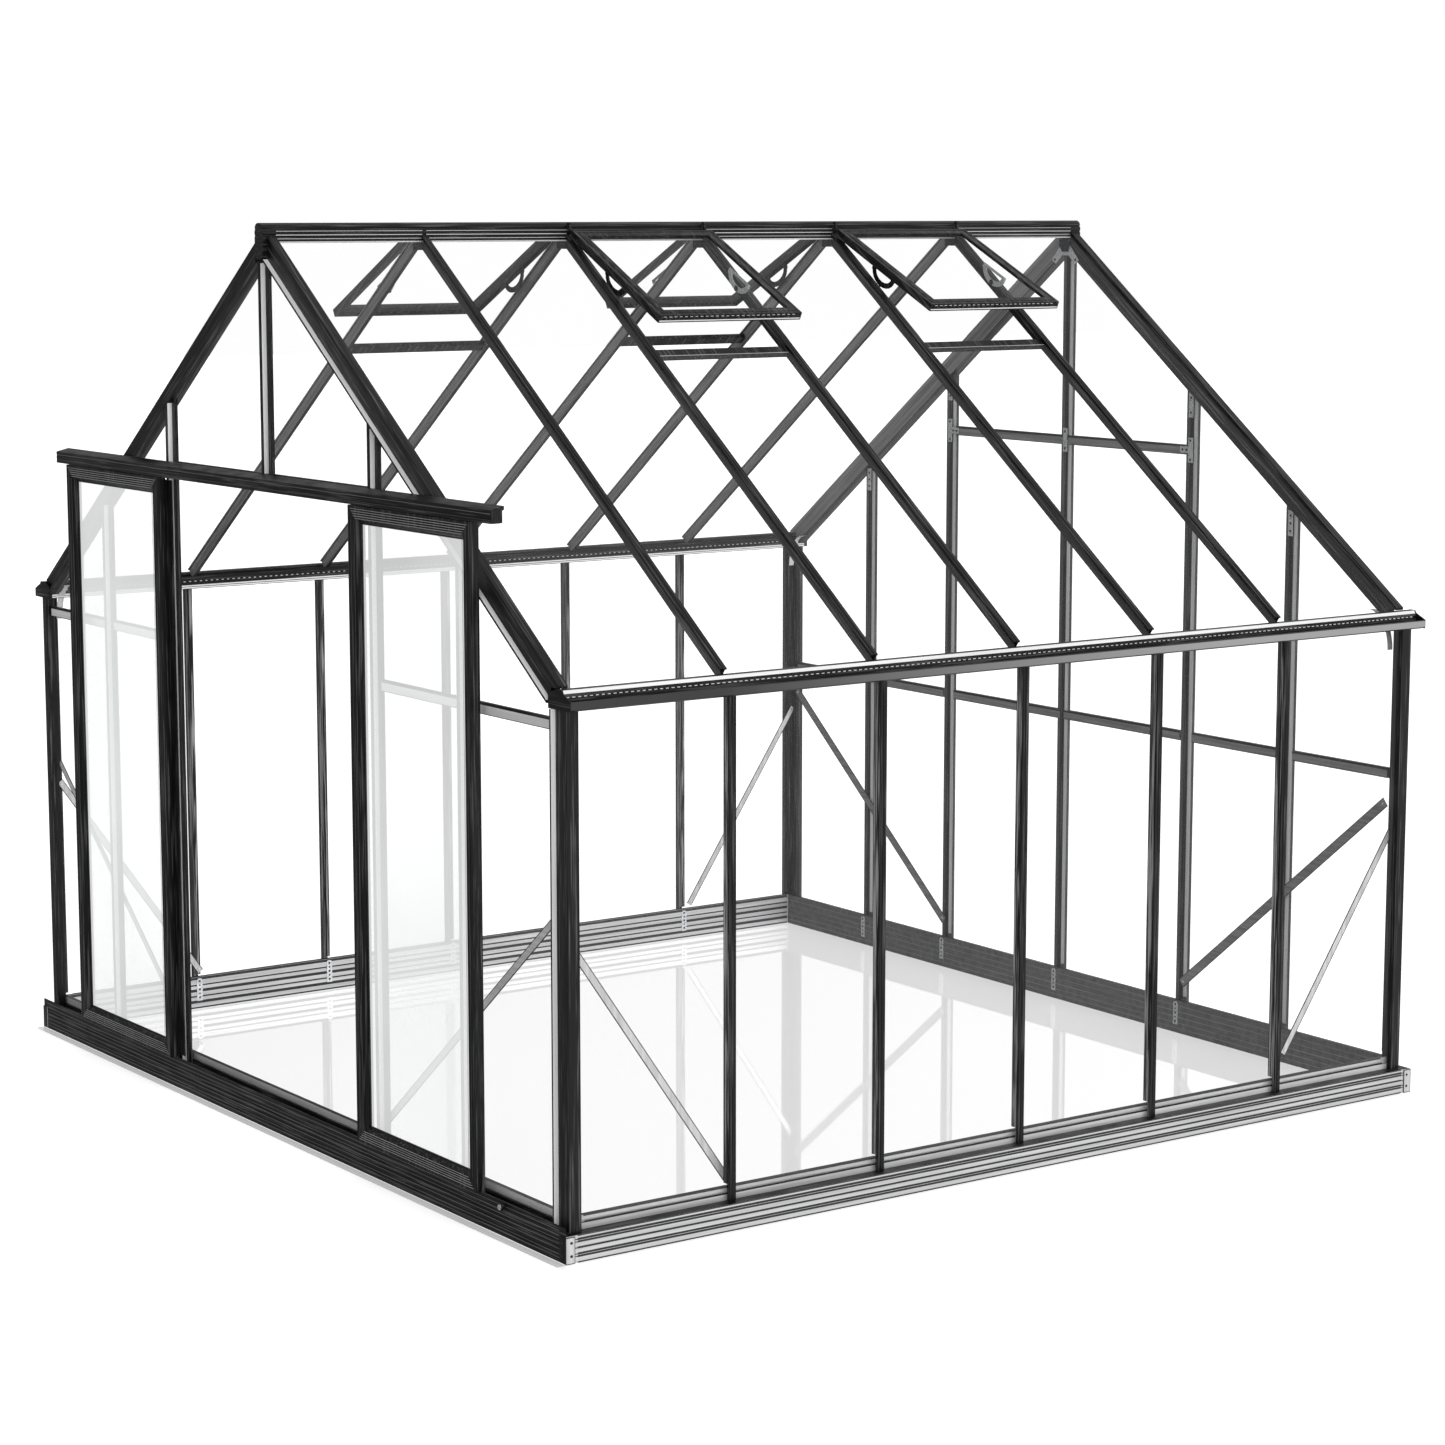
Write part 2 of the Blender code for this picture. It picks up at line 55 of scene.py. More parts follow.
GLASS_T = 0.004
RIB_D, FLANGE_W, FLANGE_T = 0.018, 0.066, 0.014  # gable bars: rib's depth, flange's width, thickness
BAR_WEB = 0.016  # width of a side or roof bar between two panes
STUD_X, JAMB_X = 1.34, 0.765  # distance of the outer studs and of the door jambs from the middle
FRONT_BRACE_Z, REAR_BRACE_Z, REAR_TOP_BRACE_Z = 1.735, 1.225, 2.385


def low(node):
    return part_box(node)[0]


def high(node):
    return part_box(node)[1]


WALL_X = high("side_bar_right_1")[0]
BAR_Y = [(low(f"side_bar_right_{k}")[1] + high(f"side_bar_right_{k}")[1]) / 2 for k in range(1, 6)]
LEDGE_Z = low("side_bar_right_1")[2]
SILL_Z = high("base_rail_right")[2]
RAIL_X = high("base_rail_right")[0]
PLINTH_X = high("base_corner_fr")[0]
PLINTH_Y = {"front": low("base_corner_fr")[1], "rear": high("base_corner_rr")[1]}
GUTTER_Z = low("gutter_right")[2]
RIDGE_TOP, RIDGE_X = high("ridge_beam")[2], high("ridge_beam")[0]
RIDGE_UNDER = 3.222  # underside of the ridge beam between its end blocks
FLANGE_Y = {"front": low("door_header")[1], "rear": high("rear_gable_bars")[1] - RIB_D}
TRACK_FACE, TRACK_Z = low("door_track")[1], low("door_track")[2]
POST_LIP_X = low("corner_post_fr")[0]
LINE_GAP = 0.0003  # how far thin lines and fittings stand off the face that they lie on
PANE_FOOT = 0.1125  # lower edge of the wall and gable panes
WALL_GLASS_X = 1.944  # inner face of the wall panes
GUTTER_LIP_Z = 1.819  # upper edge of the gutter's outer wall
GUTTER_X = (1.880, 2.0119)  # inner and outer faces of the gutter
TRACK_X = 1.636  # end of the lines along the door track
APEX_HALF = 0.034  # half width of the centre stud's head at the apex

PITCH = math.radians(36.2)
COS, SIN, TAN = math.cos(PITCH), math.sin(PITCH), math.tan(PITCH)
EAVE_X, EAVE_Z = 1.918, 1.865  # lower end of the roof bars' outer face
RAFTER_UNDER = -0.0755  # underside of the gable rafters, from the roof's outer face
VENT_BAYS = {"right": (3, 5), "left": (2, 4)}  # bays with a vent, counted from the door end
SILL_S = (EAVE_X - 0.050) / COS - 0.672  # middle of the vent sills, up the slope


def roof_z(x, n=0.0):
    """Height of the roof's outer face, moved out by n, above a point x from the middle."""
    return EAVE_Z + (EAVE_X - abs(x)) * TAN + n / COS


def roof_point(sx, s, n, y):
    """A point s up the slope from the bars' lower end and n out from their outer face."""
    return Vector((sx * (EAVE_X - s * COS + n * SIN), y, EAVE_Z + s * SIN + n * COS))


def plane(u, v, at=(0, 0, 0)):
    """A matrix with its X and Y axes along u and v and its origin at `at`."""
    u, v = Vector(u), Vector(v)
    return Matrix.Translation(at) @ Matrix((u, v, u.cross(v))).transposed().to_4x4()


# ---------------------------------------------------------------- materials
class Paint:
    """A material under construction: its node tree, its shader and the textures most surfaces share."""

    def __init__(self, name, metallic=0.0, roughness=0.4):
        self.material = bpy.data.materials.new(name)
        self.material.use_nodes = True
        self.tree = self.material.node_tree
        self.shader = self.tree.nodes["Principled BSDF"]
        self.shader.inputs["Metallic"].default_value = metallic
        self.shader.inputs["Roughness"].default_value = roughness

    def noise(self, scale, detail=3.0, along=None):
        """Noise in object space; `along` is a direction in which it is drawn out into streaks."""
        place = self.tree.nodes.new("ShaderNodeTexCoord")
        mapping = self.tree.nodes.new("ShaderNodeMapping")
        texture = self.tree.nodes.new("ShaderNodeTexNoise")
        texture.inputs["Scale"].default_value = scale
        texture.inputs["Detail"].default_value = detail
        if along:
            turn = Vector((0, 0, 1)).rotation_difference(Vector(along))
            mapping.vector_type = "TEXTURE"
            mapping.inputs["Rotation"].default_value = turn.to_euler()
            mapping.inputs["Scale"].default_value = (1, 1, 40)
        self.tree.links.new(place.outputs["Object"], mapping.inputs["Vector"])
        self.tree.links.new(mapping.outputs["Vector"], texture.inputs["Vector"])
        return texture.outputs["Fac"]

    def spread(self, value, lowest, highest, socket):
        """Sends a noise value, stretched to lowest..highest, to a socket of the shader."""
        node = self.tree.nodes.new("ShaderNodeMapRange")
        node.inputs["From Min"].default_value = 0.32
        node.inputs["From Max"].default_value = 0.68
        node.inputs["To Min"].default_value = lowest
        node.inputs["To Max"].default_value = highest
        self.tree.links.new(value, node.inputs["Value"])
        self.tree.links.new(node.outputs["Result"], self.shader.inputs[socket])

    def colour(self, value, stops):
        """Sends a colour ramp over a noise value to the shader; stops are (position, (r, g, b))."""
        ramp = self.tree.nodes.new("ShaderNodeValToRGB")
        for number, (position, rgb) in enumerate(stops):
            elements = ramp.color_ramp.elements
            element = elements[number] if number < 2 else elements.new(position)
            element.position = position
            element.color = (*rgb, 1)
        self.tree.links.new(value, ramp.inputs["Fac"])
        self.tree.links.new(ramp.outputs["Color"], self.shader.inputs["Base Color"])

    def bump(self, value, strength, distance):
        """Sends a noise value to the shader as relief of the given depth in metres."""
        node = self.tree.nodes.new("ShaderNodeBump")
        node.inputs["Strength"].default_value = strength
        node.inputs["Distance"].default_value = distance
        self.tree.links.new(value, node.inputs["Height"])
        self.tree.links.new(node.outputs["Normal"], self.shader.inputs["Normal"])


def coated(name, along, streak=0.07, reach=0.60):
    """Satin black coat over an extrusion: long die lines, lighter above `reach`, and an orange-peel skin."""
    paint = Paint(name)
    streaks = paint.noise(150.0, 2.0, along)
    ground = [(0.0, (0.004, 0.004, 0.004)), (reach - 0.06, (0.006, 0.006, 0.006))]
    paint.colour(streaks, [*ground, (reach + 0.06, (streak,) * 3)])
    paint.spread(paint.noise(9.0), 0.30, 0.46, "Roughness")
    paint.shader.inputs["Specular IOR Level"].default_value = 0.18
    paint.bump(paint.noise(260.0, 2.0, along), 0.25, 0.0006)
    return paint.material


def bare(name, along, dark=0.44, light=0.62, metallic=0.30):
    """Mill-finish aluminium with fine die lines."""
    paint = Paint(name, metallic=metallic)
    streaks = paint.noise(70.0, 2.0, along)
    paint.colour(streaks, [(0.3, (dark, dark, dark * 1.01)), (0.7, (light, light, light * 1.01))])
    paint.spread(paint.noise(14.0), 0.34, 0.52, "Roughness")
    paint.bump(paint.noise(300.0, 2.0, along), 0.2, 0.0005)
    return paint.material


def painted_light_grey(name, along):
    """Mid grey that stands in for light: on coated faces turned to the light, on the rear braces and straps, and
    as highlight lines along grooves.
    """
    paint = Paint(name)
    paint.colour(paint.noise(120.0, 2.0, along), [(0.3, (0.10, 0.10, 0.10)), (0.7, (0.21, 0.21, 0.21))])
    paint.spread(paint.noise(20.0), 0.4, 0.6, "Roughness")
    paint.bump(paint.noise(240.0, 2.0, along), 0.2, 0.0005)
    return paint.material


def shade_and_highlight_grey():
    """Dull grey painted as shade on the rails' inner faces, and as highlight lines on the door stiles."""
    paint = Paint("shade_and_highlight_grey", metallic=0.2)
    paint.colour(paint.noise(40.0, 3.0), [(0.3, (0.06, 0.06, 0.062)), (0.7, (0.12, 0.12, 0.122))])
    paint.spread(paint.noise(20.0), 0.45, 0.6, "Roughness")
    paint.bump(paint.noise(200.0), 0.2, 0.0005)
    return paint.material


def painted_sheen_gutter():
    """The gutter's outer wall, with painted sheen: black at the door end and along its edges, paler towards the
    rear.
    """
    paint = Paint("painted_sheen_gutter")
    place = paint.tree.nodes.new("ShaderNodeTexCoord")
    split = paint.tree.nodes.new("ShaderNodeSeparateXYZ")
    reach = paint.tree.nodes.new("ShaderNodeMapRange")
    reach.inputs["From Min"].default_value = -1.3
    reach.inputs["From Max"].default_value = 0.9
    paint.tree.links.new(place.outputs["Object"], split.inputs["Vector"])
    paint.tree.links.new(split.outputs["Y"], reach.inputs["Value"])
    edge = paint.tree.nodes.new("ShaderNodeMath")
    edge.operation = "COMPARE"
    edge.inputs[1].default_value = (GUTTER_Z + GUTTER_LIP_Z) / 2
    edge.inputs[2].default_value = (GUTTER_LIP_Z - GUTTER_Z) / 2 - 0.004
    paint.tree.links.new(split.outputs["Z"], edge.inputs[0])
    both = paint.tree.nodes.new("ShaderNodeMath")
    both.operation = "MULTIPLY"
    paint.tree.links.new(edge.outputs["Value"], both.inputs[0])
    paint.tree.links.new(reach.outputs["Result"], both.inputs[1])
    # Painted sheen: grey growing towards the rear, black along the edges.
    paint.colour(both.outputs["Value"], [(0.0, (0.010, 0.010, 0.010)), (1.0, (0.30, 0.30, 0.30))])
    paint.spread(paint.noise(12.0), 0.3, 0.5, "Roughness")
    paint.bump(paint.noise(160.0, 2.0, ALONG), 0.25, 0.0006)
    return paint.material


def zinc():
    """Bright plated steel of the small fittings, with a fine spangle."""
    paint = Paint("zinc_plate", metallic=0.8)
    paint.colour(paint.noise(180.0, 4.0), [(0.35, (0.42, 0.43, 0.45)), (0.65, (0.78, 0.79, 0.80))])
    paint.spread(paint.noise(90.0), 0.25, 0.45, "Roughness")
    paint.bump(paint.noise(420.0, 3.0), 0.2, 0.0004)
    return paint.material


def screw_steel():
    """Dark steel of the screw heads."""
    paint = Paint("screw_steel", metallic=0.9)
    paint.colour(paint.noise(500.0), [(0.3, (0.03, 0.03, 0.03)), (0.7, (0.09, 0.09, 0.10))])
    paint.spread(paint.noise(300.0), 0.3, 0.5, "Roughness")
    return paint.material


def glass(name, veil):
    """Thin glass, seen straight through apart from a faint white veil that varies a little; the veil glows, a
    painted light that keeps it white on panes turned from the light.
    """
    paint = Paint(name, roughness=0.05)
    paint.colour(paint.noise(1.3), [(0.3, (0.20, 0.22, 0.22)), (0.7, (0.26, 0.27, 0.27))])
    paint.spread(paint.noise(0.9), veil * 0.85, veil * 1.15, "Alpha")
    paint.bump(paint.noise(2.5, 1.0), 0.02, 0.002)
    paint.shader.inputs["IOR"].default_value = 1.45
    # Painted light: the glass glows white so that its veil stays white.
    paint.shader.inputs["Emission Color"].default_value = (1, 1, 1, 1)
    paint.shader.inputs["Emission Strength"].default_value = 0.75
    paint.material.surface_render_method = "BLENDED"
    return paint.material


def matt_black_and_shadow_paint():
    """Matt black of seals and screw heads, and of painted shadow lines."""
    paint = Paint("matt_black_and_painted_shadow")
    paint.colour(paint.noise(80.0), [(0.3, (0.010, 0.010, 0.010)), (0.7, (0.024, 0.024, 0.024))])
    paint.spread(paint.noise(120.0), 0.55, 0.75, "Roughness")
    paint.bump(paint.noise(500.0), 0.3, 0.0004)
    return paint.material


UP, ACROSS, ALONG = (0, 0, 1), (1, 0, 0), (0, 1, 0)
SLOPES = {side: (-sx * COS, 0, SIN) for side, sx in SIDES.items()}
COAT_UP, COAT_X = coated("coat_upright", UP), coated("coat_across", ACROSS)
COAT_Y = coated("coat_along", ALONG)
STREAKY = coated("coat_streaky", UP, 0.30, 0.54)
COAT_SLOPE = {side: coated(f"coat_slope_{side}", way) for side, way in SLOPES.items()}
# Mill-finish aluminium; the across and along copies also draw painted highlight lines and marks.
BARE_UP, BARE_AND_HIGHLIGHT_X, BARE_AND_HIGHLIGHT_Y = bare("bare_upright", UP), bare("bare_and_highlight_across", ACROSS), bare("bare_and_highlight_along", ALONG)
# Lighter copies of the bare aluminium, painted light: bare faces where the light falls, and highlights on coated
# parts.
LIT_BARE_X = bare("bright_across", ACROSS, 0.60, 0.72, 0.0)
LIT_BARE_UP = bare("lit_bare_upright", UP, 0.78, 0.92, 0.0)
LIT_BARE_Y = bare("bright_along", ALONG, 0.78, 0.92, 0.0)
LIT_BARE_SLOPE = {side: bare(f"bright_slope_{side}", way, 0.80, 0.95, 0.0) for side, way in SLOPES.items()}
ZINC, SCREW, MATT_BLACK_AND_SHADOW = zinc(), screw_steel(), matt_black_and_shadow_paint()
SHADE_AND_HIGHLIGHT_GREY, PAINTED_SHEEN_GUTTER = shade_and_highlight_grey(), painted_sheen_gutter()
PAINTED_LIGHT_GREY, PAINTED_LIGHT_GREY_SLOPE = painted_light_grey("painted_light_grey_across", ACROSS), painted_light_grey("painted_light_grey_slope", SLOPES["left"])
PANE, DOOR_PANE = glass("pane_glass", 0.016), glass("door_glass", 0.46)


# ---------------------------------------------------------------- making pieces
class Shape:
    """Collects simple solids into one mesh and makes a piece of it."""

    def __init__(self):
        self.work = bmesh.new()

    def block(self, corner, opposite, matrix=Matrix.Identity(4)):
        """A box between two opposite corners, placed by the matrix."""
        corner, opposite = Vector(corner), Vector(opposite)
        size = [abs(a) for a in opposite - corner]
        place = matrix @ Matrix.Translation((corner + opposite) / 2) @ Matrix.Diagonal((*size, 1))
        bmesh.ops.create_cube(self.work, size=1, matrix=place)
        return self

    def prism(self, points, matrix, depth):
        """A flat outline in the matrix's XY plane, extruded along its Z axis."""
        verts = [self.work.verts.new(matrix @ Vector((a, b, 0))) for a, b in points]
        made = bmesh.ops.extrude_face_region(self.work, geom=[self.work.faces.new(verts)])
        top = [v for v in made["geom"] if isinstance(v, bmesh.types.BMVert)]
        bmesh.ops.translate(self.work, verts=top, vec=matrix.to_3x3() @ Vector((0, 0, depth)))
        return self

    def disc(self, centre, axis, radius, depth, segments=16):
        """A round head, a little narrower at its outer end."""
        turn = Vector((0, 0, 1)).rotation_difference(Vector(axis)).to_matrix().to_4x4()
        bmesh.ops.create_cone(
            self.work, cap_ends=True, segments=segments, radius1=radius, radius2=radius * 0.86,
            depth=depth, matrix=Matrix.Translation(centre) @ turn,
        )
        return self

    def piece(self, name, material, body=HOUSE, round_off=0.0006, replaces=()):
        """Ends the mesh and makes it a piece of one material that rides on the body."""
        bmesh.ops.recalc_face_normals(self.work, faces=self.work.faces)
        mesh = bpy.data.meshes.new(name)
        self.work.to_mesh(mesh)
        self.work.free()
        return finished(name, mesh, [material], body, round_off, replaces)


def finished(name, mesh, materials, body, round_off, replaces=()):
    """Makes a mesh a piece with soft edges, on its body and in place of the CAD nodes it replaces."""
    obj = bpy.data.objects.new(name, mesh)
    bpy.context.scene.collection.objects.link(obj)
    for material in materials:
        mesh.materials.append(material)
    if round_off:
        soft = obj.modifiers.new("soft edges", "BEVEL")
        soft.width = round_off
        soft.segments = 2
        soft.limit_method = "ANGLE"
        soft.angle_limit = math.radians(40)
        soft.harden_normals = True
        mesh.shade_smooth()
        mesh.set_sharp_from_angle(angle=math.radians(40))
    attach(obj, body)
    if replaces:
        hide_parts(*replaces)
    return obj


def refined(node, materials, choose=None, body=HOUSE, round_off=0.0006):
    """A CAD node's shape with its edges rounded off; `choose` gives a face's material number."""
    mesh = frame["nodes"][node].data.copy()
    mesh.materials.clear()
    work = bmesh.new()
    work.from_mesh(mesh)
    bmesh.ops.remove_doubles(work, verts=work.verts, dist=2e-5)
    bmesh.ops.dissolve_limit(work, angle_limit=math.radians(0.5), verts=work.verts, edges=work.edges)
    for face in work.faces:
        face.material_index = choose(face.calc_center_median(), face.normal) if choose else 0
    work.to_mesh(mesh)
    work.free()
    return finished(f"{node}_profile", mesh, materials, body, round_off, [node])


# ---------------------------------------------------------------- base frame
def base_frame():
    """Light metal rails with black ledge and grooves, and corner plates with two screws a face. The black in the
    grooves and on the front faces of rails and plates, and the dull grey of the rails' inner faces, are painted
    shade.
    """
    groove_depth, riser_foot, plate_edge = 0.0025, 0.021, 0.022
    sides = {"front": (1, -1), "rear": (1, 1), "left": (0, -1), "right": (0, 1)}
    for side, (axis, sign) in sides.items():
        face = abs((low if sign < 0 else high)(f"base_rail_{side}")[axis])

        def choose(point, normal, side=side, axis=axis, sign=sign, face=face):
            inset = face - sign * point[axis]
            upward = normal.z > 0.9
            in_groove = 0.0001 < inset < groove_depth and point.z < LEDGE_Z - 0.001
            # Inner faces take the dull grey of painted shade, apart from the left rail's, which faces the light
            # and stays bare.
            if normal[axis] * sign < -0.9 and not in_groove:
                return 0 if side == "left" else 2
            # Painted shade: the grooves and the front rail's faces, apart from the set-back risers above the
            # ledge, take the black coat; upward faces are the black ledge.
            riser = normal.y < -0.9 and point.z > LEDGE_Z + riser_foot and inset > 0.03
            return 1 if upward or in_groove or (side == "front" and not riser) else 0

        metal, coat = (BARE_AND_HIGHLIGHT_X, COAT_X) if axis else (BARE_AND_HIGHLIGHT_Y, COAT_Y)
        refined(f"base_rail_{side}", [metal, coat, SHADE_AND_HIGHLIGHT_GREY], choose, round_off=0.0003)
    for corner in ("fl", "fr", "rl", "rr"):
        sx, end = (1 if corner[1] == "r" else -1), ("front" if corner[0] == "f" else "rear")

        def painted_shade_front(point, normal):
            return 1 if normal.y < -0.9 or normal.z > 0.9 else 0

        # The plates' front faces and tops take the black coat; on the front faces it is painted shade.
        refined(f"base_corner_{corner}", [BARE_UP, COAT_UP], painted_shade_front, round_off=0.0005)
        screws = Shape()
        for z in (0.026, 0.070):
            side_y = PLINTH_Y[end] - ENDS[end] * plate_edge
            screws.disc((sx * (PLINTH_X + 0.0004), side_y, z), (sx, 0, 0), 0.0052, 0.0024)
            if end == "front":
                front_x = sx * (PLINTH_X - plate_edge)
                screws.disc((front_x, PLINTH_Y[end] - 0.0004, z), (0, -1, 0), 0.0045, 0.0022)
        screws.piece(f"base_corner_screws_{corner}", MATT_BLACK_AND_SHADOW, round_off=0)


# ---------------------------------------------------------------- posts, bars, gutters, ridge
def is_rib_side(point, normal):
    """True on the side of a rib or lip that stands proud of a gable's flanges."""
    proud = point.y < FLANGE_Y["front"] - 0.002 or point.y > FLANGE_Y["rear"] + 0.002
    return proud and abs(normal.y) < 0.5


def walls():
    """Corner posts whose lip is bare metal, painted extra light on its outward side as a highlight, and side
    bars with a streaked inner face.
    """
    for corner in ("fl", "fr", "rl", "rr"):
        sx = 1 if corner[1] == "r" else -1

        def highlight_lip(point, normal, sx=sx):
            on_lip = normal.x * sx > 0.5 and abs(point.x) < POST_LIP_X + 0.012
            return 1 if on_lip and is_rib_side(point, normal) else 0

        refined(f"corner_post_{corner}", [COAT_UP, LIT_BARE_UP], highlight_lip)
    for side, sx in SIDES.items():

        def inner_face(point, normal, sx=sx):
            return 1 if sx * point.x < WALL_X - 0.008 and abs(normal.z) < 0.5 else 0

        for number in range(1, 6):
            refined(f"side_bar_{side}_{number}", [COAT_UP, STREAKY], inner_face)


def gutters():
    """Gutters with painted sheen on the outer wall, a painted highlight band and highlight marks outside,
    painted highlight lines and marks inside, and a cap at each end.
    """
    inner, outer = GUTTER_X
    front, rear = -1.86, 1.91
    for side, sx in SIDES.items():

        def painted_sheen_wall(point, normal, sx=sx):
            outer_wall = sx * point.x > RAIL_X + 0.012 and normal.x * sx > 0.9
            return 1 if outer_wall else 0

        # The outer wall takes the gutter's painted sheen.
        refined(f"gutter_{side}", [COAT_Y, PAINTED_SHEEN_GUTTER], painted_sheen_wall)
        # Painted highlights: a light band and a row of light dashes on the trough's back wall.
        band = plane((0, sx, 0), Vector((-0.007 * sx, 0, 0.012)).normalized(), (sx * 1.9645, 0, 1.8385))
        lit = Shape().block((sx * -1.868, 0, 0), (sx * 1.921, 0.0125, 0.0006), band)
        lit.piece(f"gutter_highlight_band_{side}", LIT_BARE_Y)
        marks = Shape()
        for number in range(170):
            y = front + number * 0.0222
            marks.block((sx * 1.9655, y, 1.826), (sx * 1.9665, y + 0.011, 1.8285))
        marks.piece(f"gutter_highlight_marks_{side}", LIT_BARE_Y, round_off=0)
        # Painted highlights on the gutter's inner face: two light lines and a row of light dashes.
        strip = Shape()
        near, far = sx * (inner - 0.0001), sx * (inner - 0.0007)
        for z in (1.7885, 1.7965):
            strip.block((near, front, z), (far, rear, z + 0.0055))
        strip.piece(f"eave_highlight_strip_{side}", LIT_BARE_Y, round_off=0)
        dots = Shape()
        for number in range(150):
            y = front + 0.01 + number * 0.025
            dots.block((near, y, GUTTER_LIP_Z - 0.003), (far, y + 0.009, GUTTER_LIP_Z))
        dots.piece(f"eave_highlight_marks_{side}", BARE_AND_HIGHLIGHT_Y, round_off=0)
        foot = [(inner, GUTTER_Z), (2.010, GUTTER_Z), (outer, 1.792), (outer, GUTTER_LIP_Z)]
        head = [(1.966, 1.840), (1.957, 1.851), (1.930, 1.851), (inner, 1.835)]
        cap = [(sx * x, z) for x, z in foot + head]
        for end, y in (("front", -1.8725), ("rear", 1.9265)):
            at = plane((1, 0, 0), (0, 0, 1), (0, y + 0.0015, 0))
            Shape().prism(cap, at, 0.003).piece(f"gutter_cap_{side}_{end}", COAT_X)


def roof_bars():
    """Black roof bars; on the left slope the faces towards the door end are painted grey as light falling on
    them.
    """
    names = [name for name in frame["nodes"] if name.startswith(("roof_bar", "vent_trimmer"))]
    for name in names:
        side = "right" if "right" in name else "left"

        def lit_side(point, normal, side=side):
            return 1 if side == "left" and normal.y < -0.9 else 0

        refined(name, [COAT_SLOPE[side], PAINTED_LIGHT_GREY_SLOPE], lit_side)


def gables():
    """Rafters, studs, door header and track; the ribs' sides and the rafters' lip tops are bare metal painted
    extra light as a highlight, and the rear left rafter's face towards the door end takes the grey of painted
    light.
    """
    for corner in ("fl", "fr", "rl", "rr"):
        side = "right" if corner[1] == "r" else "left"

        def highlight_lip(point, normal, rear_left=corner == "rl"):
            if rear_left and normal.y < -0.9:
                return 2
            return 1 if is_rib_side(point, normal) and normal.z > 0.5 else 0

        refined(f"gable_rafter_{corner}", [COAT_SLOPE[side], LIT_BARE_SLOPE[side], PAINTED_LIGHT_GREY_SLOPE], highlight_lip)

    def highlight_rib(point, normal):
        return 1 if is_rib_side(point, normal) and abs(normal.x) > 0.9 else 0

    front_bars = ["front_gable_bars_left", "front_gable_bars_right", "front_gable_bar_centre"]
    for node in (*front_bars, "rear_gable_bars"):
        refined(node, [COAT_UP, LIT_BARE_UP], highlight_rib)
    refined("door_header", [COAT_X])
    refined("door_track", [COAT_X])


# ---------------------------------------------------------------- panes
def pane(name, points, matrix, replaces, body=HOUSE, material=PANE):
    """One sheet of glass with the given outline."""
    Shape().prism(points, matrix, GLASS_T).piece(name, material, body, round_off=0.0004, replaces=replaces)


def spans(ends):
    """The six stretches of one side between its bars."""
    edge = BAR_WEB / 2 + 0.0006
    limits = [ends[0] - edge] + BAR_Y + [ends[1] + edge]
    return [(limits[k] + edge, limits[k + 1] - edge) for k in range(6)]


def side_panes():
    """Wall and roof panes, one to a bay; above a vent bay's sill the vent's own glass takes over."""
    for side, sx in SIDES.items():
        wall = plane((0, sx, 0), (0, 0, 1), (sx * WALL_GLASS_X, 0, 0))
        top = GUTTER_Z - 0.001
        for bay, (y0, y1) in enumerate(spans((FLANGE_Y["front"] + 0.047, FLANGE_Y["rear"] - 0.047)), 1):
            edges = [(sx * y0, PANE_FOOT), (sx * y1, PANE_FOOT), (sx * y1, top), (sx * y0, top)]
            pane(f"wall_pane_{side}_{bay}", edges, wall, [f"glass_wall_{side}"])
        slope = plane((0, sx, 0), SLOPES[side], roof_point(sx, 0, -0.018, 0))
        full, short = (EAVE_X - RIDGE_X - 0.012) / COS, SILL_S - 0.021
        for bay, (y0, y1) in enumerate(spans((FLANGE_Y["front"] + 0.036, FLANGE_Y["rear"] - 0.036)), 1):
            top = short if bay in VENT_BAYS[side] else full
            edges = [(sx * y0, -0.0105), (sx * y1, -0.0105), (sx * y1, top), (sx * y0, top)]
            pane(f"roof_pane_{side}_{bay}", edges, slope, [f"glass_roof_{side}"])


def gable_panes():
    """Three panes on each side of a gable's middle, cut to the rafter; one pair starts above the doors."""
    for end, sy in ENDS.items():
        y = FLANGE_Y[end] - sy * (FLANGE_T + 0.0003) + (GLASS_T if sy < 0 else 0)
        matrix = plane((1, 0, 0), (0, 0, 1), (0, y, 0))
        bays = [(1.8695, STUD_X + 0.012), (STUD_X - 0.012, JAMB_X + 0.012), (JAMB_X - 0.012, 0.012)]
        for side, sx in SIDES.items():
            for number, (outer, inner) in enumerate(bays, 1):
                foot = TRACK_Z + 0.004 if end == "front" and number == 3 else PANE_FOOT
                peak_x = max(inner, APEX_HALF)
                peak = roof_z(peak_x, RAFTER_UNDER)
                edges = [(outer, foot), (outer, roof_z(outer, RAFTER_UNDER)), (peak_x, peak)]
                if inner < peak_x:
                    edges.append((inner, peak))
                edges = [(sx * x, z) for x, z in [*edges, (inner, foot)]]
                pane(f"gable_pane_{end}_{side}_{number}", edges, matrix, [f"glass_gable_{end}"])


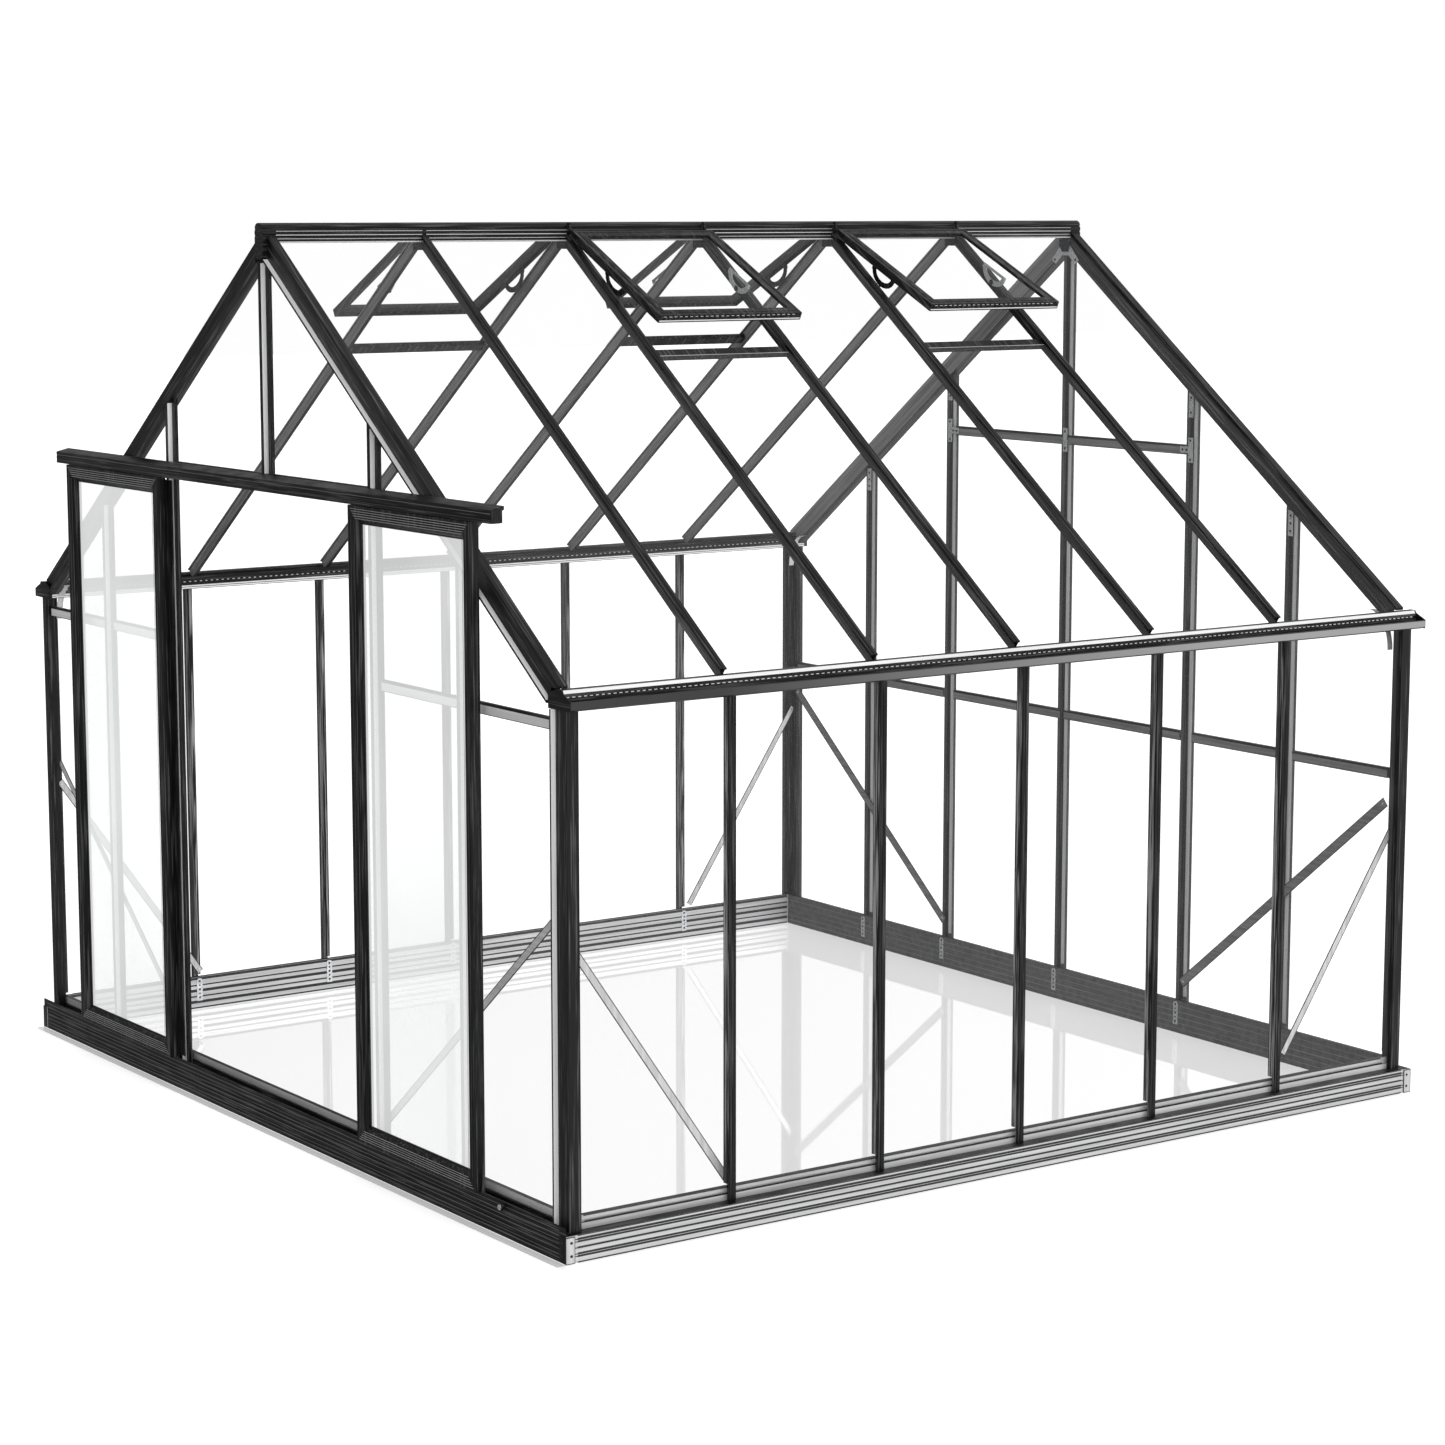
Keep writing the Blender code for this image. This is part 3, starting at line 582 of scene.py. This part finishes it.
# ---------------------------------------------------------------- doors
def doors():
    """Leaves, their glass with a black seal round it, and the meeting strip on the left leaf."""
    for side in SIDES:
        leaf, body = f"door_leaf_{side}", f"door_{side}"
        refined(leaf, [COAT_UP], body=body, round_off=0.0004)
        (x0, _, z0), (x1, _, z1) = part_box(f"door_glass_{side}")
        y = low(f"door_glass_{side}")[1]
        matrix = plane((1, 0, 0), (0, 0, 1), (0, y + GLASS_T, 0))
        edges = [(x0, z0), (x1, z0), (x1, z1), (x0, z1)]
        pane(f"door_pane_{side}", edges, matrix, [f"door_glass_{side}"], body, DOOR_PANE)
        seal, wide = Shape(), 0.006
        level = [(x0, z0, x1, z0 + wide), (x0, z1 - wide, x1, z1)]
        upright = [(x0, z0, x0 + wide, z1), (x1 - wide, z0, x1, z1)]
        for left, foot, right, top in level + upright:
            seal.block((left, y - 0.004, foot), (right, y - 0.0002, top))
        seal.piece(f"door_seal_{side}", MATT_BLACK_AND_SHADOW, body, round_off=0.001)
    foot = low("door_leaf_left")[2] + 0.01
    x, y, top = high("door_leaf_left")
    near, far = y + LINE_GAP, y + 0.0045
    outline = [(x - 0.02, near), (x + 0.049, near), (x + 0.049, far), (x - 0.02, far)]
    strip = Shape().prism(outline, plane((1, 0, 0), (0, 1, 0), (0, 0, foot)), top - 0.01 - foot)
    strip.piece("door_meeting_strip", COAT_UP, "door_left")


# ---------------------------------------------------------------- vents
def vent_places():
    """Each vent's name, side sign, hinge point, matrix (down the vent, across, outwards) and half width."""
    for joint in frame["joints"]:
        if joint["type"] != "hinge":
            continue
        body = joint["child"]
        side = "right" if "right" in body else "left"
        sx = SIDES[side]
        tilt = PITCH + math.radians(joint["range_deg"][0])
        hinge = Vector(joint["pos_m"])
        matrix = plane((sx * math.cos(tilt), 0, -math.sin(tilt)), (0, sx, 0), hinge)
        (_, y0, _), (_, y1, _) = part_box(f"vent_frame_{body[5:]}")
        yield body, side, sx, hinge, matrix, (y1 - y0) / 2


def vents():
    """Vent frames with their glass, and a painted highlight line on the drip and painted highlight marks along
    each foot.
    """
    for body, side, _, _, matrix, half in vent_places():
        name = body[5:]
        refined(f"vent_frame_{name}", [COAT_SLOPE[side]], body=body)
        head, foot, across = 0.014, 0.652, half - 0.008
        lay = matrix @ Matrix.Translation((0, 0, 0.0135))
        edges = [(head, -across), (foot, -across), (foot, across), (head, across)]
        pane(f"vent_pane_{name}", edges, lay, [f"vent_glass_{name}"], body)
        own = [matrix.inverted() @ v.co for v in frame["nodes"][f"vent_frame_{name}"].data.vertices]
        foot, under, over = max(v.x for v in own), min(v.z for v in own), max(v.z for v in own)
        # Painted highlights: a light line along the drip and light dashes along the foot.
        drip, marks = Shape(), Shape()
        near, far, reach = foot - 0.001, foot + 0.0004, half - 0.004
        drip.block((near, -reach, under + 0.005), (far, reach, under + 0.009), matrix)
        drip.piece(f"vent_drip_highlight_{name}", LIT_BARE_Y, body, round_off=0)
        for number in range(26):
            y = -half + 0.02 + number * (2 * half - 0.04) / 26
            marks.block((near, y, over - 0.008), (far, y + 0.012, over - 0.0055), matrix)
        marks.piece(f"vent_highlight_marks_{name}", BARE_AND_HIGHLIGHT_Y, body, round_off=0)


base_frame()
walls()
gutters()
refined("ridge_beam", [COAT_Y])
roof_bars()
gables()
side_panes()
gable_panes()
doors()
vents()


# ---------------------------------------------------------------- fittings
def strap(name, start, end, normal, width, material):
    """A flat bar from start to end with darker edges and a screw at each end."""
    start, end = Vector(start), Vector(end)
    run = (end - start).normalized()
    length, half, thick = (end - start).length, width / 2, 0.002
    matrix = plane(run, Vector(normal).cross(run).normalized(), start)
    outline = [(0, -half), (length, -half), (length, half), (0, half)]
    Shape().prism(outline, matrix, thick).piece(name, material)
    edges = Shape()
    for side in (-1, 1):
        inner, outer = side * (half - 0.0026), side * (half + LINE_GAP)
        edges.block((0, inner, -LINE_GAP), (length, outer, thick + LINE_GAP), matrix)
    edges.piece(f"{name}_edges", MATT_BLACK_AND_SHADOW, round_off=0)
    heads = Shape()
    for along in (0.014, length - 0.014):
        heads.disc(matrix @ Vector((along, 0, thick + 0.001)), normal, 0.0055, 0.003)
    heads.piece(f"{name}_screws", ZINC, round_off=0)


def diagonals():
    """Diagonal straps beside the doors, on the rear gable and in the end bays of the walls."""
    # The rear straps take the grey of painted light.
    for end, offset, width, metal in (("front", 0.0205, 0.028, BARE_AND_HIGHLIGHT_X), ("rear", -0.0225, 0.038, PAINTED_LIGHT_GREY)):
        y = FLANGE_Y[end] + offset
        for side, sx in SIDES.items():
            head, foot = (sx * 1.885, y, 1.115), (sx * 0.775, y, 0.205)
            strap(f"gable_diagonal_{end}_{side}", head, foot, (0, -1, 0), width, metal)
    for side, sx in SIDES.items():
        x = sx * 1.9225
        rear_foot = (x, 1.285, 0.155) if side == "left" else (x, 1.3275, 0.22)
        for end, y, foot in (("front", -1.83, (x, -1.2175, 0.16)), ("rear", 1.8775, rear_foot)):
            strap(f"wall_diagonal_{side}_{end}", (x, y, 1.03), foot, (1, 0, 0), 0.027, BARE_UP)


def brace_skins():
    """The braces' faces towards the door end, painted light: bare metal painted extra light on the front brace,
    a dull grey of painted light on the rear ones.
    """
    edge = FLANGE_W / 2 + 0.003
    outer = [(JAMB_X + edge, STUD_X - edge), (STUD_X + edge, 1.884)]
    middle = [(0.012, JAMB_X - edge)]
    inside = low("rear_gable_bars")[1] - 0.0002
    rows = [
        ("front", FLANGE_Y["front"] - 0.0002, FRONT_BRACE_Z, outer, LIT_BARE_X),
        ("rear", inside - 0.0043, REAR_BRACE_Z, outer + middle, PAINTED_LIGHT_GREY),
        ("rear_top", inside - 0.0043, REAR_TOP_BRACE_Z, middle, PAINTED_LIGHT_GREY),
    ]
    for name, y, z, runs, metal in rows:
        skin, lines = Shape(), Shape()
        for sx in (-1, 1):
            for start, stop in runs:
                skin.block((sx * start, y, z - 0.017), (sx * stop, y - 0.0006, z + 0.011))
                lines.block((sx * start, y, z - 0.0195), (sx * stop, y - 0.0008, z - 0.017))
                lines.block((sx * start, y, z + 0.011), (sx * stop, y - 0.0008, z + 0.0195))
        skin.piece(f"brace_skin_{name}", metal, round_off=0)
        lines.piece(f"brace_lines_{name}", COAT_X, round_off=0)
    bands = Shape()
    for x in (-STUD_X, -JAMB_X, 0, JAMB_X, STUD_X):
        top = roof_z(max(abs(x), APEX_HALF) + 0.03, RAFTER_UNDER)
        bands.block((x + 0.0125, inside, 0.150), (x + 0.0325, inside - 0.0006, top))
    bands.piece("rear_stud_bands", BARE_UP, round_off=0)


def foot_clips():
    """Perforated plates inside the feet of the bars and of the rear studs."""

    def clip(name, place, normal):
        u = Vector(normal).cross((0, 0, 1))
        matrix = plane(u, (0, 0, 1), place)
        depth = 0.0018 if u.cross((0, 0, 1)).dot(Vector(normal)) > 0 else -0.0018
        foot, head = [(-0.013, 0), (0.013, 0)], [(0.008, 0.096), (-0.008, 0.096)]
        outline = [*foot, (0.013, 0.088), *head, (-0.013, 0.088)]
        Shape().prism(outline, matrix, depth).piece(name, ZINC)
        holes = Shape()
        for number in range(5):
            centre = Vector(place) + Vector((0, 0, 0.014 + number * 0.0175)) + Vector(normal) * 0.0018
            holes.disc(centre, normal, 0.0042 if number % 2 else 0.0055, 0.0010)
        holes.piece(f"{name}_screws", SCREW, round_off=0)

    inner_x = low("base_rail_right")[0]
    inner_y = low("base_rail_rear")[1]
    for side, sx in SIDES.items():
        for number, y in enumerate(BAR_Y, 1):
            clip(f"foot_clip_{side}_{number}", (sx * (inner_x - 0.0001), y, 0.034), (-sx, 0, 0))
        for x in (JAMB_X, STUD_X):
            clip(f"foot_clip_rear_{side}_{round(x * 1000)}", (sx * x, inner_y - 0.0001, 0.034), (0, -1, 0))
    clip("foot_clip_rear_centre", (0, inner_y - 0.0001, 0.034), (0, -1, 0))


def brace_plates():
    """T plates and screws where the rear braces meet the studs, and a bracket under the rear apex."""
    stud_face = low("rear_gable_bars")[1] - 0.0072
    rafter_face = low("gable_rafter_rr")[1] - LINE_GAP

    def plate(name, x, z, points, screws, y=stud_face):
        outline = [(x + a, z + b) for a, b in points]
        Shape().prism(outline, plane((1, 0, 0), (0, 0, 1), (0, y, 0)), 0.002).piece(name, ZINC)
        heads = Shape()
        for a, b in screws:
            heads.disc((x + a, y - 0.0015, z + b), (0, -1, 0), 0.006, 0.003)
        heads.piece(f"{name}_screws", SCREW, round_off=0)

    tee = [(-0.013, -0.05), (0.013, -0.05), (0.013, 0.05), (-0.013, 0.05)]
    for side, sx in SIDES.items():
        stem = [(0.013, -0.05), (0.013, 0.05), (-0.013, 0.05)]
        arm = [(-0.013, 0.014), (-0.06, 0.014), (-0.06, -0.012), (-0.013, -0.012), (-0.013, -0.05)]
        outline = [(sx * a, b) for a, b in stem + arm]
        heads = [(0, -0.038), (0, 0.038), (sx * -0.045, 0), (sx * -0.022, 0)]
        plate(f"tee_{side}", sx * JAMB_X, REAR_TOP_BRACE_Z, outline, heads)
        stud_top = roof_z(STUD_X, RAFTER_UNDER) - 0.06
        plate(f"stud_plate_{side}", sx * STUD_X, stud_top, tee, [(0, -0.03), (0, 0.0), (0, 0.03)])
        jamb_top = roof_z(JAMB_X, RAFTER_UNDER) - 0.05
        plate(f"jamb_plate_{side}", sx * JAMB_X, jamb_top, tee, [(0, -0.03), (0, 0.03)])
    plate("tee_centre", 0, REAR_TOP_BRACE_Z, tee, [(0, -0.035), (0, 0.035)])
    left_half = [(-0.085, -0.02), (-0.06, -0.035), (-0.02, 0.0)]
    right_half = [(0.02, 0.0), (0.06, -0.035), (0.085, -0.02)]
    corners = [(-0.065, -0.018), (0.065, -0.018), (-0.018, 0.02), (0.018, 0.02)]
    outline = [*left_half, *right_half, (0.03, 0.04), (-0.03, 0.04)]
    plate("apex_bracket", 0, 3.150, outline, corners, rafter_face)


def gussets():
    """Curved straps from post to rafter inside the eave corners."""
    for end, sy in ENDS.items():
        y = FLANGE_Y[end] - sy * 0.030
        for side, sx in SIDES.items():
            curve = []
            for step in range(9):
                t = math.radians(90) * step / 8
                curve.append((1.905 - 0.10 * (1 - math.cos(t)), 1.700 + 0.145 * math.sin(t)))
            outer = [(sx * x, z) for x, z in curve]
            inner = [(sx * (x - 0.0018), z - 0.001) for x, z in reversed(curve)]
            matrix = plane((1, 0, 0), (0, 0, 1), (0, y, 0))
            Shape().prism(outer + inner, matrix, sy * 0.026).piece(f"gusset_{end}_{side}", BARE_UP)


def sill_lines():
    """Black glazing seals at the foot of the wall panes and along the edge of the sill."""
    front, rear = FLANGE_Y["front"] + 0.07, FLANGE_Y["rear"] - 0.07
    for side, sx in SIDES.items():
        seal = Shape()
        seal.block((sx * 1.9482, front, PANE_FOOT), (sx * 1.9500, rear, PANE_FOOT + 0.006))
        seal.block((sx * 1.9400, front, SILL_Z - 0.0045), (sx * 1.9425, rear, SILL_Z + 0.0008))
        seal.piece(f"foot_seal_{side}", MATT_BLACK_AND_SHADOW, round_off=0.0004)


def plinth_lines():
    """Shadow lines in the rails' grooves, along their edges and round the corner plates, and painted highlight
    lines on the rear rail's inner face and along the front rail.
    """
    heights = [(0.0190, 0.0260), (0.0275, 0.0345), (0.0475, 0.0540), (0.0675, 0.0740), (0.0755, 0.0830)]
    edges = [(0.0002, 0.0050), (LEDGE_Z - 0.0036, LEDGE_Z - 0.0006)]
    inner_foot = [(0.002, 0.008), (0.024, 0.036), (0.050, 0.056)]
    inner_head = [(0.072, 0.084), (0.098, 0.104), (0.124, 0.135)]
    for side, sx in SIDES.items():
        lines = Shape()
        for z0, z1 in heights + edges:
            lines.block((sx * (RAIL_X - 0.0020), -1.850, z0), (sx * (RAIL_X + 0.0004), 1.884, z1))
        lines.piece(f"plinth_lines_{side}", MATT_BLACK_AND_SHADOW, round_off=0)
        inner = Shape()
        face = sx * (low("base_rail_right")[0] - LINE_GAP)
        for z0, z1 in inner_foot + inner_head:
            inner.block((face, -1.845, z0), (face + sx * 0.002, 1.848, z1))
        inner.piece(f"rail_inner_lines_{side}", MATT_BLACK_AND_SHADOW, round_off=0)
    # Painted highlights: light lines on the rear rail's inner face.
    across = Shape()
    face = low("base_rail_rear")[1] - LINE_GAP
    for z in (0.018, 0.040, 0.064, 0.088, 0.112):
        across.block((-1.915, face, z), (1.915, face + 0.002, z + 0.003))
    across.piece("rail_inner_highlights_rear", PAINTED_LIGHT_GREY, round_off=0)
    # Painted highlights: light lines along the front rail.
    front = Shape()
    face = low("base_rail_front")[1] - LINE_GAP
    for z in (0.014, 0.0265, 0.044, 0.060, 0.0745, 0.088, 0.104):
        front.block((-1.955, face, z), (1.955, face + 0.002, z + 0.0016))
    front.piece("plinth_highlights_front", PAINTED_LIGHT_GREY, round_off=0)
    for corner in ("fr", "rr", "fl", "rl"):
        (x0, y0, _), (x1, y1, z1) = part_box(f"base_corner_{corner}")
        sx = 1 if corner[1] == "r" else -1
        face = (x1 if sx > 0 else x0) + sx * 0.0002
        frame_lines = Shape()
        for a, b in ((y0 + 0.0002, y0 + 0.0022), (y1 - 0.0022, y1 - 0.0002)):
            frame_lines.block((face, a, 0.0004), (face - sx * 0.001, b, z1 - 0.0004))
        for a, b in ((0.0004, 0.003), (z1 - 0.003, z1 - 0.0004)):
            frame_lines.block((face, y0 + 0.0002, a), (face - sx * 0.001, y1 - 0.0002, b))
        frame_lines.piece(f"corner_lines_{corner}", MATT_BLACK_AND_SHADOW, round_off=0)


def door_fittings():
    """Door stop with its roller, painted highlight lines and caps on the track, and painted highlight lines on
    the leaves' rails and stiles.
    """
    stop = Shape()
    stop.block((1.612, -1.9115, LEDGE_Z + 0.0005), (1.634, -1.8985, LEDGE_Z + 0.020))
    stop.piece("door_stop", COAT_X, round_off=0.001)
    roller = Shape().disc((1.623, -1.9135, LEDGE_Z + 0.012), (0, 1, 0), 0.010, 0.005)
    roller.piece("door_stop_roller", ZINC, round_off=0.0008)
    # Painted highlights along the track's grooves.
    track_highlight_lines = Shape()
    for z in (0.010, 0.020, 0.031):
        near, foot = TRACK_FACE + 0.0002, TRACK_Z + z
        track_highlight_lines.block((-TRACK_X, near, foot), (TRACK_X, near + 0.0008, foot + 0.0016))
    track_highlight_lines.piece("track_highlight_lines", PAINTED_LIGHT_GREY, round_off=0)
    caps = Shape()
    near, foot, top = TRACK_FACE + 0.001, TRACK_Z + 0.001, high("door_track")[2] - 0.013
    for sx in (-1, 1):
        caps.block((sx * (TRACK_X + 0.0015), near, foot), (sx * (TRACK_X + 0.0052), near + 0.043, top))
    caps.piece("track_end_caps", COAT_UP, round_off=0.0012)
    for side in SIDES:
        (x0, y0, z0), (x1, _, z1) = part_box(f"door_leaf_{side}")
        # Painted highlights along the grooves of the leaves' rails and stiles.
        lines = Shape()
        near, far = y0 - LINE_GAP, y0 + 0.0004
        for drop in (0.012, 0.020, 0.028, 0.036, 0.044):
            for z in (z1 - drop, z0 + drop):
                lines.block((x0 + 0.004 + drop, near, z), (x1 - 0.004 - drop, far, z + 0.0014))
        lines.piece(f"door_top_highlights_{side}", BARE_AND_HIGHLIGHT_X, f"door_{side}", round_off=0)
        edges = Shape()
        for x in (x0 + 0.022, x0 + 0.044, x1 - 0.0232, x1 - 0.0452):
            edges.block((x, near, z0 + 0.05), (x + 0.0012, far, z1 - 0.05))
        edges.piece(f"door_stile_highlights_{side}", SHADE_AND_HIGHLIGHT_GREY, f"door_{side}", round_off=0)


def half_ring(radius_x, radius_z):
    """Thirteen points round the lower half of an ellipse."""
    turns = [math.pi * step / 12 for step in range(13)]
    return [(radius_x * math.cos(t), -radius_z * math.sin(t)) for t in turns]


def vent_fittings():
    """Curved slotted stays, hinge hooks over the ridge, and a painted highlight line along each sill."""
    bow = half_ring(0.075, 0.055) + half_ring(0.052, 0.034)[::-1]
    hook_top = [(0.030, 0.0), (0.044, 0.0), (0.046, -0.014), (0.050, -0.030)]
    hook = hook_top + [(0.040, -0.030), (0.036, -0.010), (0.030, -0.008)]
    for body, side, sx, hinge, matrix, half in vent_places():
        axle = matrix.col[1].xyz
        for end, way, coat in (("front", -1, COAT_UP), ("rear", 1, ZINC)):
            name = f"{body[5:]}_{end}"
            at = Matrix.Translation((0.30, way * (half - 0.040), -0.018))
            place = matrix @ at @ Matrix.Rotation(math.pi / 2, 4, "X")
            arm = Shape().prism(bow, place, 0.003)
            arm.block((-0.075, -0.004, 0), (0.075, 0.007, 0.003), place)
            for pivot in (0.064, -0.064):
                arm.disc(place @ Vector((pivot, -0.006, 0.002)), axle, 0.010, 0.008)
            arm.piece(f"vent_stay_{name}", coat, body)
            pin = Shape().disc(place @ Vector((0.0, -0.045, 0.0015)), axle, 0.012, 0.006)
            pin.piece(f"vent_pin_{name}", SCREW, body, round_off=0.0008)
            flat = plane((1, 0, 0), (0, 0, 1), (0, hinge.y + way * (half - 0.012), RIDGE_TOP - 0.002))
            Shape().prism([(sx * a, b) for a, b in hook], flat, 0.010).piece(f"vent_hook_{name}", COAT_Y)
        lay = plane(SLOPES[side], (0, sx, 0), roof_point(sx, SILL_S - 0.020, -0.0136, hinge.y))
        reach = half - 0.022
        # Painted highlight: a light line along the sill.
        line = Shape().block((0.001, -reach, 0), (0.0045, reach, 0.0008 * -sx), lay)
        line.piece(f"vent_sill_highlight_{body[5:]}", BARE_AND_HIGHLIGHT_Y)


def ridge_lines():
    """Shoes that join the bars' heads under the ridge, and the light lines along its sides."""
    half, foot, head = RIDGE_X + LINE_GAP, 3.1935, RIDGE_UNDER - LINE_GAP
    shoe = [(-half, foot), (half, foot), (half, head), (-half, head)]
    for number, y in enumerate(BAR_Y, 1):
        at = plane((1, 0, 0), (0, 0, 1), (0, y + 0.0134, 0))
        Shape().prism(shoe, at, 0.0268).piece(f"ridge_shoe_{number}", COAT_Y)
    foot_line = [(RIDGE_UNDER + 0.0004, 0.0050)]
    side_lines = [(RIDGE_TOP - drop, tall) for drop, tall in ((0.030, 0.0018), (0.044, 0.0026), (0.057, 0.0018))]
    for side, sx in SIDES.items():
        lines = Shape()
        for bay, (y0, y1) in enumerate(spans((FLANGE_Y["front"] + 0.036, FLANGE_Y["rear"] - 0.036)), 1):
            for z, tall in foot_line if bay in VENT_BAYS[side] else foot_line + side_lines:
                lines.block((sx * (RIDGE_X - 0.0030), y0, z), (sx * (RIDGE_X + 0.0006), y1, z + tall))
        lines.piece(f"ridge_lines_{side}", BARE_AND_HIGHLIGHT_Y, round_off=0)


diagonals()
brace_skins()
foot_clips()
brace_plates()
gussets()
sill_lines()
plinth_lines()
door_fittings()
vent_fittings()
ridge_lines()


# ---------------------------------------------------------------- stage, camera and light
def stage():
    """A pale floor that throws no light back, faintly glossy inside the base frame and close round it, where it
    is painted a little darker as shade.
    """

    def floor(name, corner, opposite, z, tint, glow, roughness, gloss):
        mesh = bpy.data.meshes.new(name)
        work = bmesh.new()
        (x0, y0), (x1, y1) = corner, opposite
        work.faces.new([work.verts.new((x, y, z)) for x, y in ((x0, y0), (x1, y0), (x1, y1), (x0, y1))])
        work.to_mesh(mesh)
        work.free()
        obj = bpy.data.objects.new(name, mesh)
        bpy.context.scene.collection.objects.link(obj)
        paint = Paint(name, metallic=gloss, roughness=roughness)
        paint.colour(paint.noise(0.4), [(0.3, (tint,) * 3), (0.7, (tint + 0.03,) * 3)])
        paint.shader.inputs["Emission Color"].default_value = (1, 1, 1, 1)
        paint.shader.inputs["Emission Strength"].default_value = glow
        mesh.materials.append(paint.material)
        obj.visible_diffuse = False
        obj.visible_glossy = False

    floor("floor", (-60, -60), (60, 60), -0.0006, 0.90, 0.55, 0.9, 0.0)
    inner_x, inner_rear = low("base_rail_right")[0], low("base_rail_rear")[1]
    inner_front = high("base_rail_front")[1]
    front, rear, rim = PLINTH_Y["front"], PLINTH_Y["rear"], 0.035
    edge = PLINTH_X + rim
    # Painted shade: the rims and the floor inside are darker and glow less, most along the front rail.
    floor("floor_rim_front", (-PLINTH_X, front - rim), (PLINTH_X, front), -0.0004, 0.80, 0.36, 0.05, 0.6)
    floor("floor_rim_right", (PLINTH_X, front - rim), (edge, rear), -0.0004, 0.88, 0.52, 0.05, 0.3)
    floor("floor_inside", (-inner_x, inner_front), (inner_x, inner_rear), -0.0002, 0.86, 0.50, 0.03, 0.6)


def camera():
    """The camera, seen from the right of the door end, a little above the ridge."""
    data = bpy.data.cameras.new("camera")
    data.sensor_width = 36
    data.lens = 86.36
    data.clip_end = 300
    obj = bpy.data.objects.new("camera", data)
    obj.location = (11.045, -7.6513, 3.350)
    obj.rotation_euler = (1.42304, 0, 0.95750)
    bpy.context.scene.collection.objects.link(obj)
    bpy.context.scene.camera = obj


def studio():
    """A white room, brightest towards +X and +Y and dim towards -Y, seen as plain white."""
    world = bpy.data.worlds.new("studio")
    bpy.context.scene.world = world
    world.use_nodes = True
    tree = world.node_tree
    background = tree.nodes["Background"]
    place = tree.nodes.new("ShaderNodeTexCoord")
    facing = tree.nodes.new("ShaderNodeVectorMath")
    facing.operation = "DOT_PRODUCT"
    facing.inputs[1].default_value = Vector((0.90, 0.30, 0.20)).normalized()
    ramp = tree.nodes.new("ShaderNodeMapRange")
    ramp.inputs["From Min"].default_value = -0.7
    ramp.inputs["From Max"].default_value = 1.0
    ramp.inputs["To Min"].default_value = 0.30
    ramp.inputs["To Max"].default_value = 1.40
    rays = tree.nodes.new("ShaderNodeLightPath")
    mix = tree.nodes.new("ShaderNodeMix")
    mix.inputs["B"].default_value = 1.0
    tree.links.new(place.outputs["Generated"], facing.inputs[0])
    tree.links.new(facing.outputs["Value"], ramp.inputs["Value"])
    tree.links.new(rays.outputs["Is Camera Ray"], mix.inputs["Factor"])
    tree.links.new(ramp.outputs["Result"], mix.inputs["A"])
    tree.links.new(mix.outputs["Result"], background.inputs["Strength"])
    background.inputs["Color"].default_value = (1, 1, 1, 1)
    bpy.context.scene.view_settings.view_transform = "Standard"


stage()
camera()
studio()
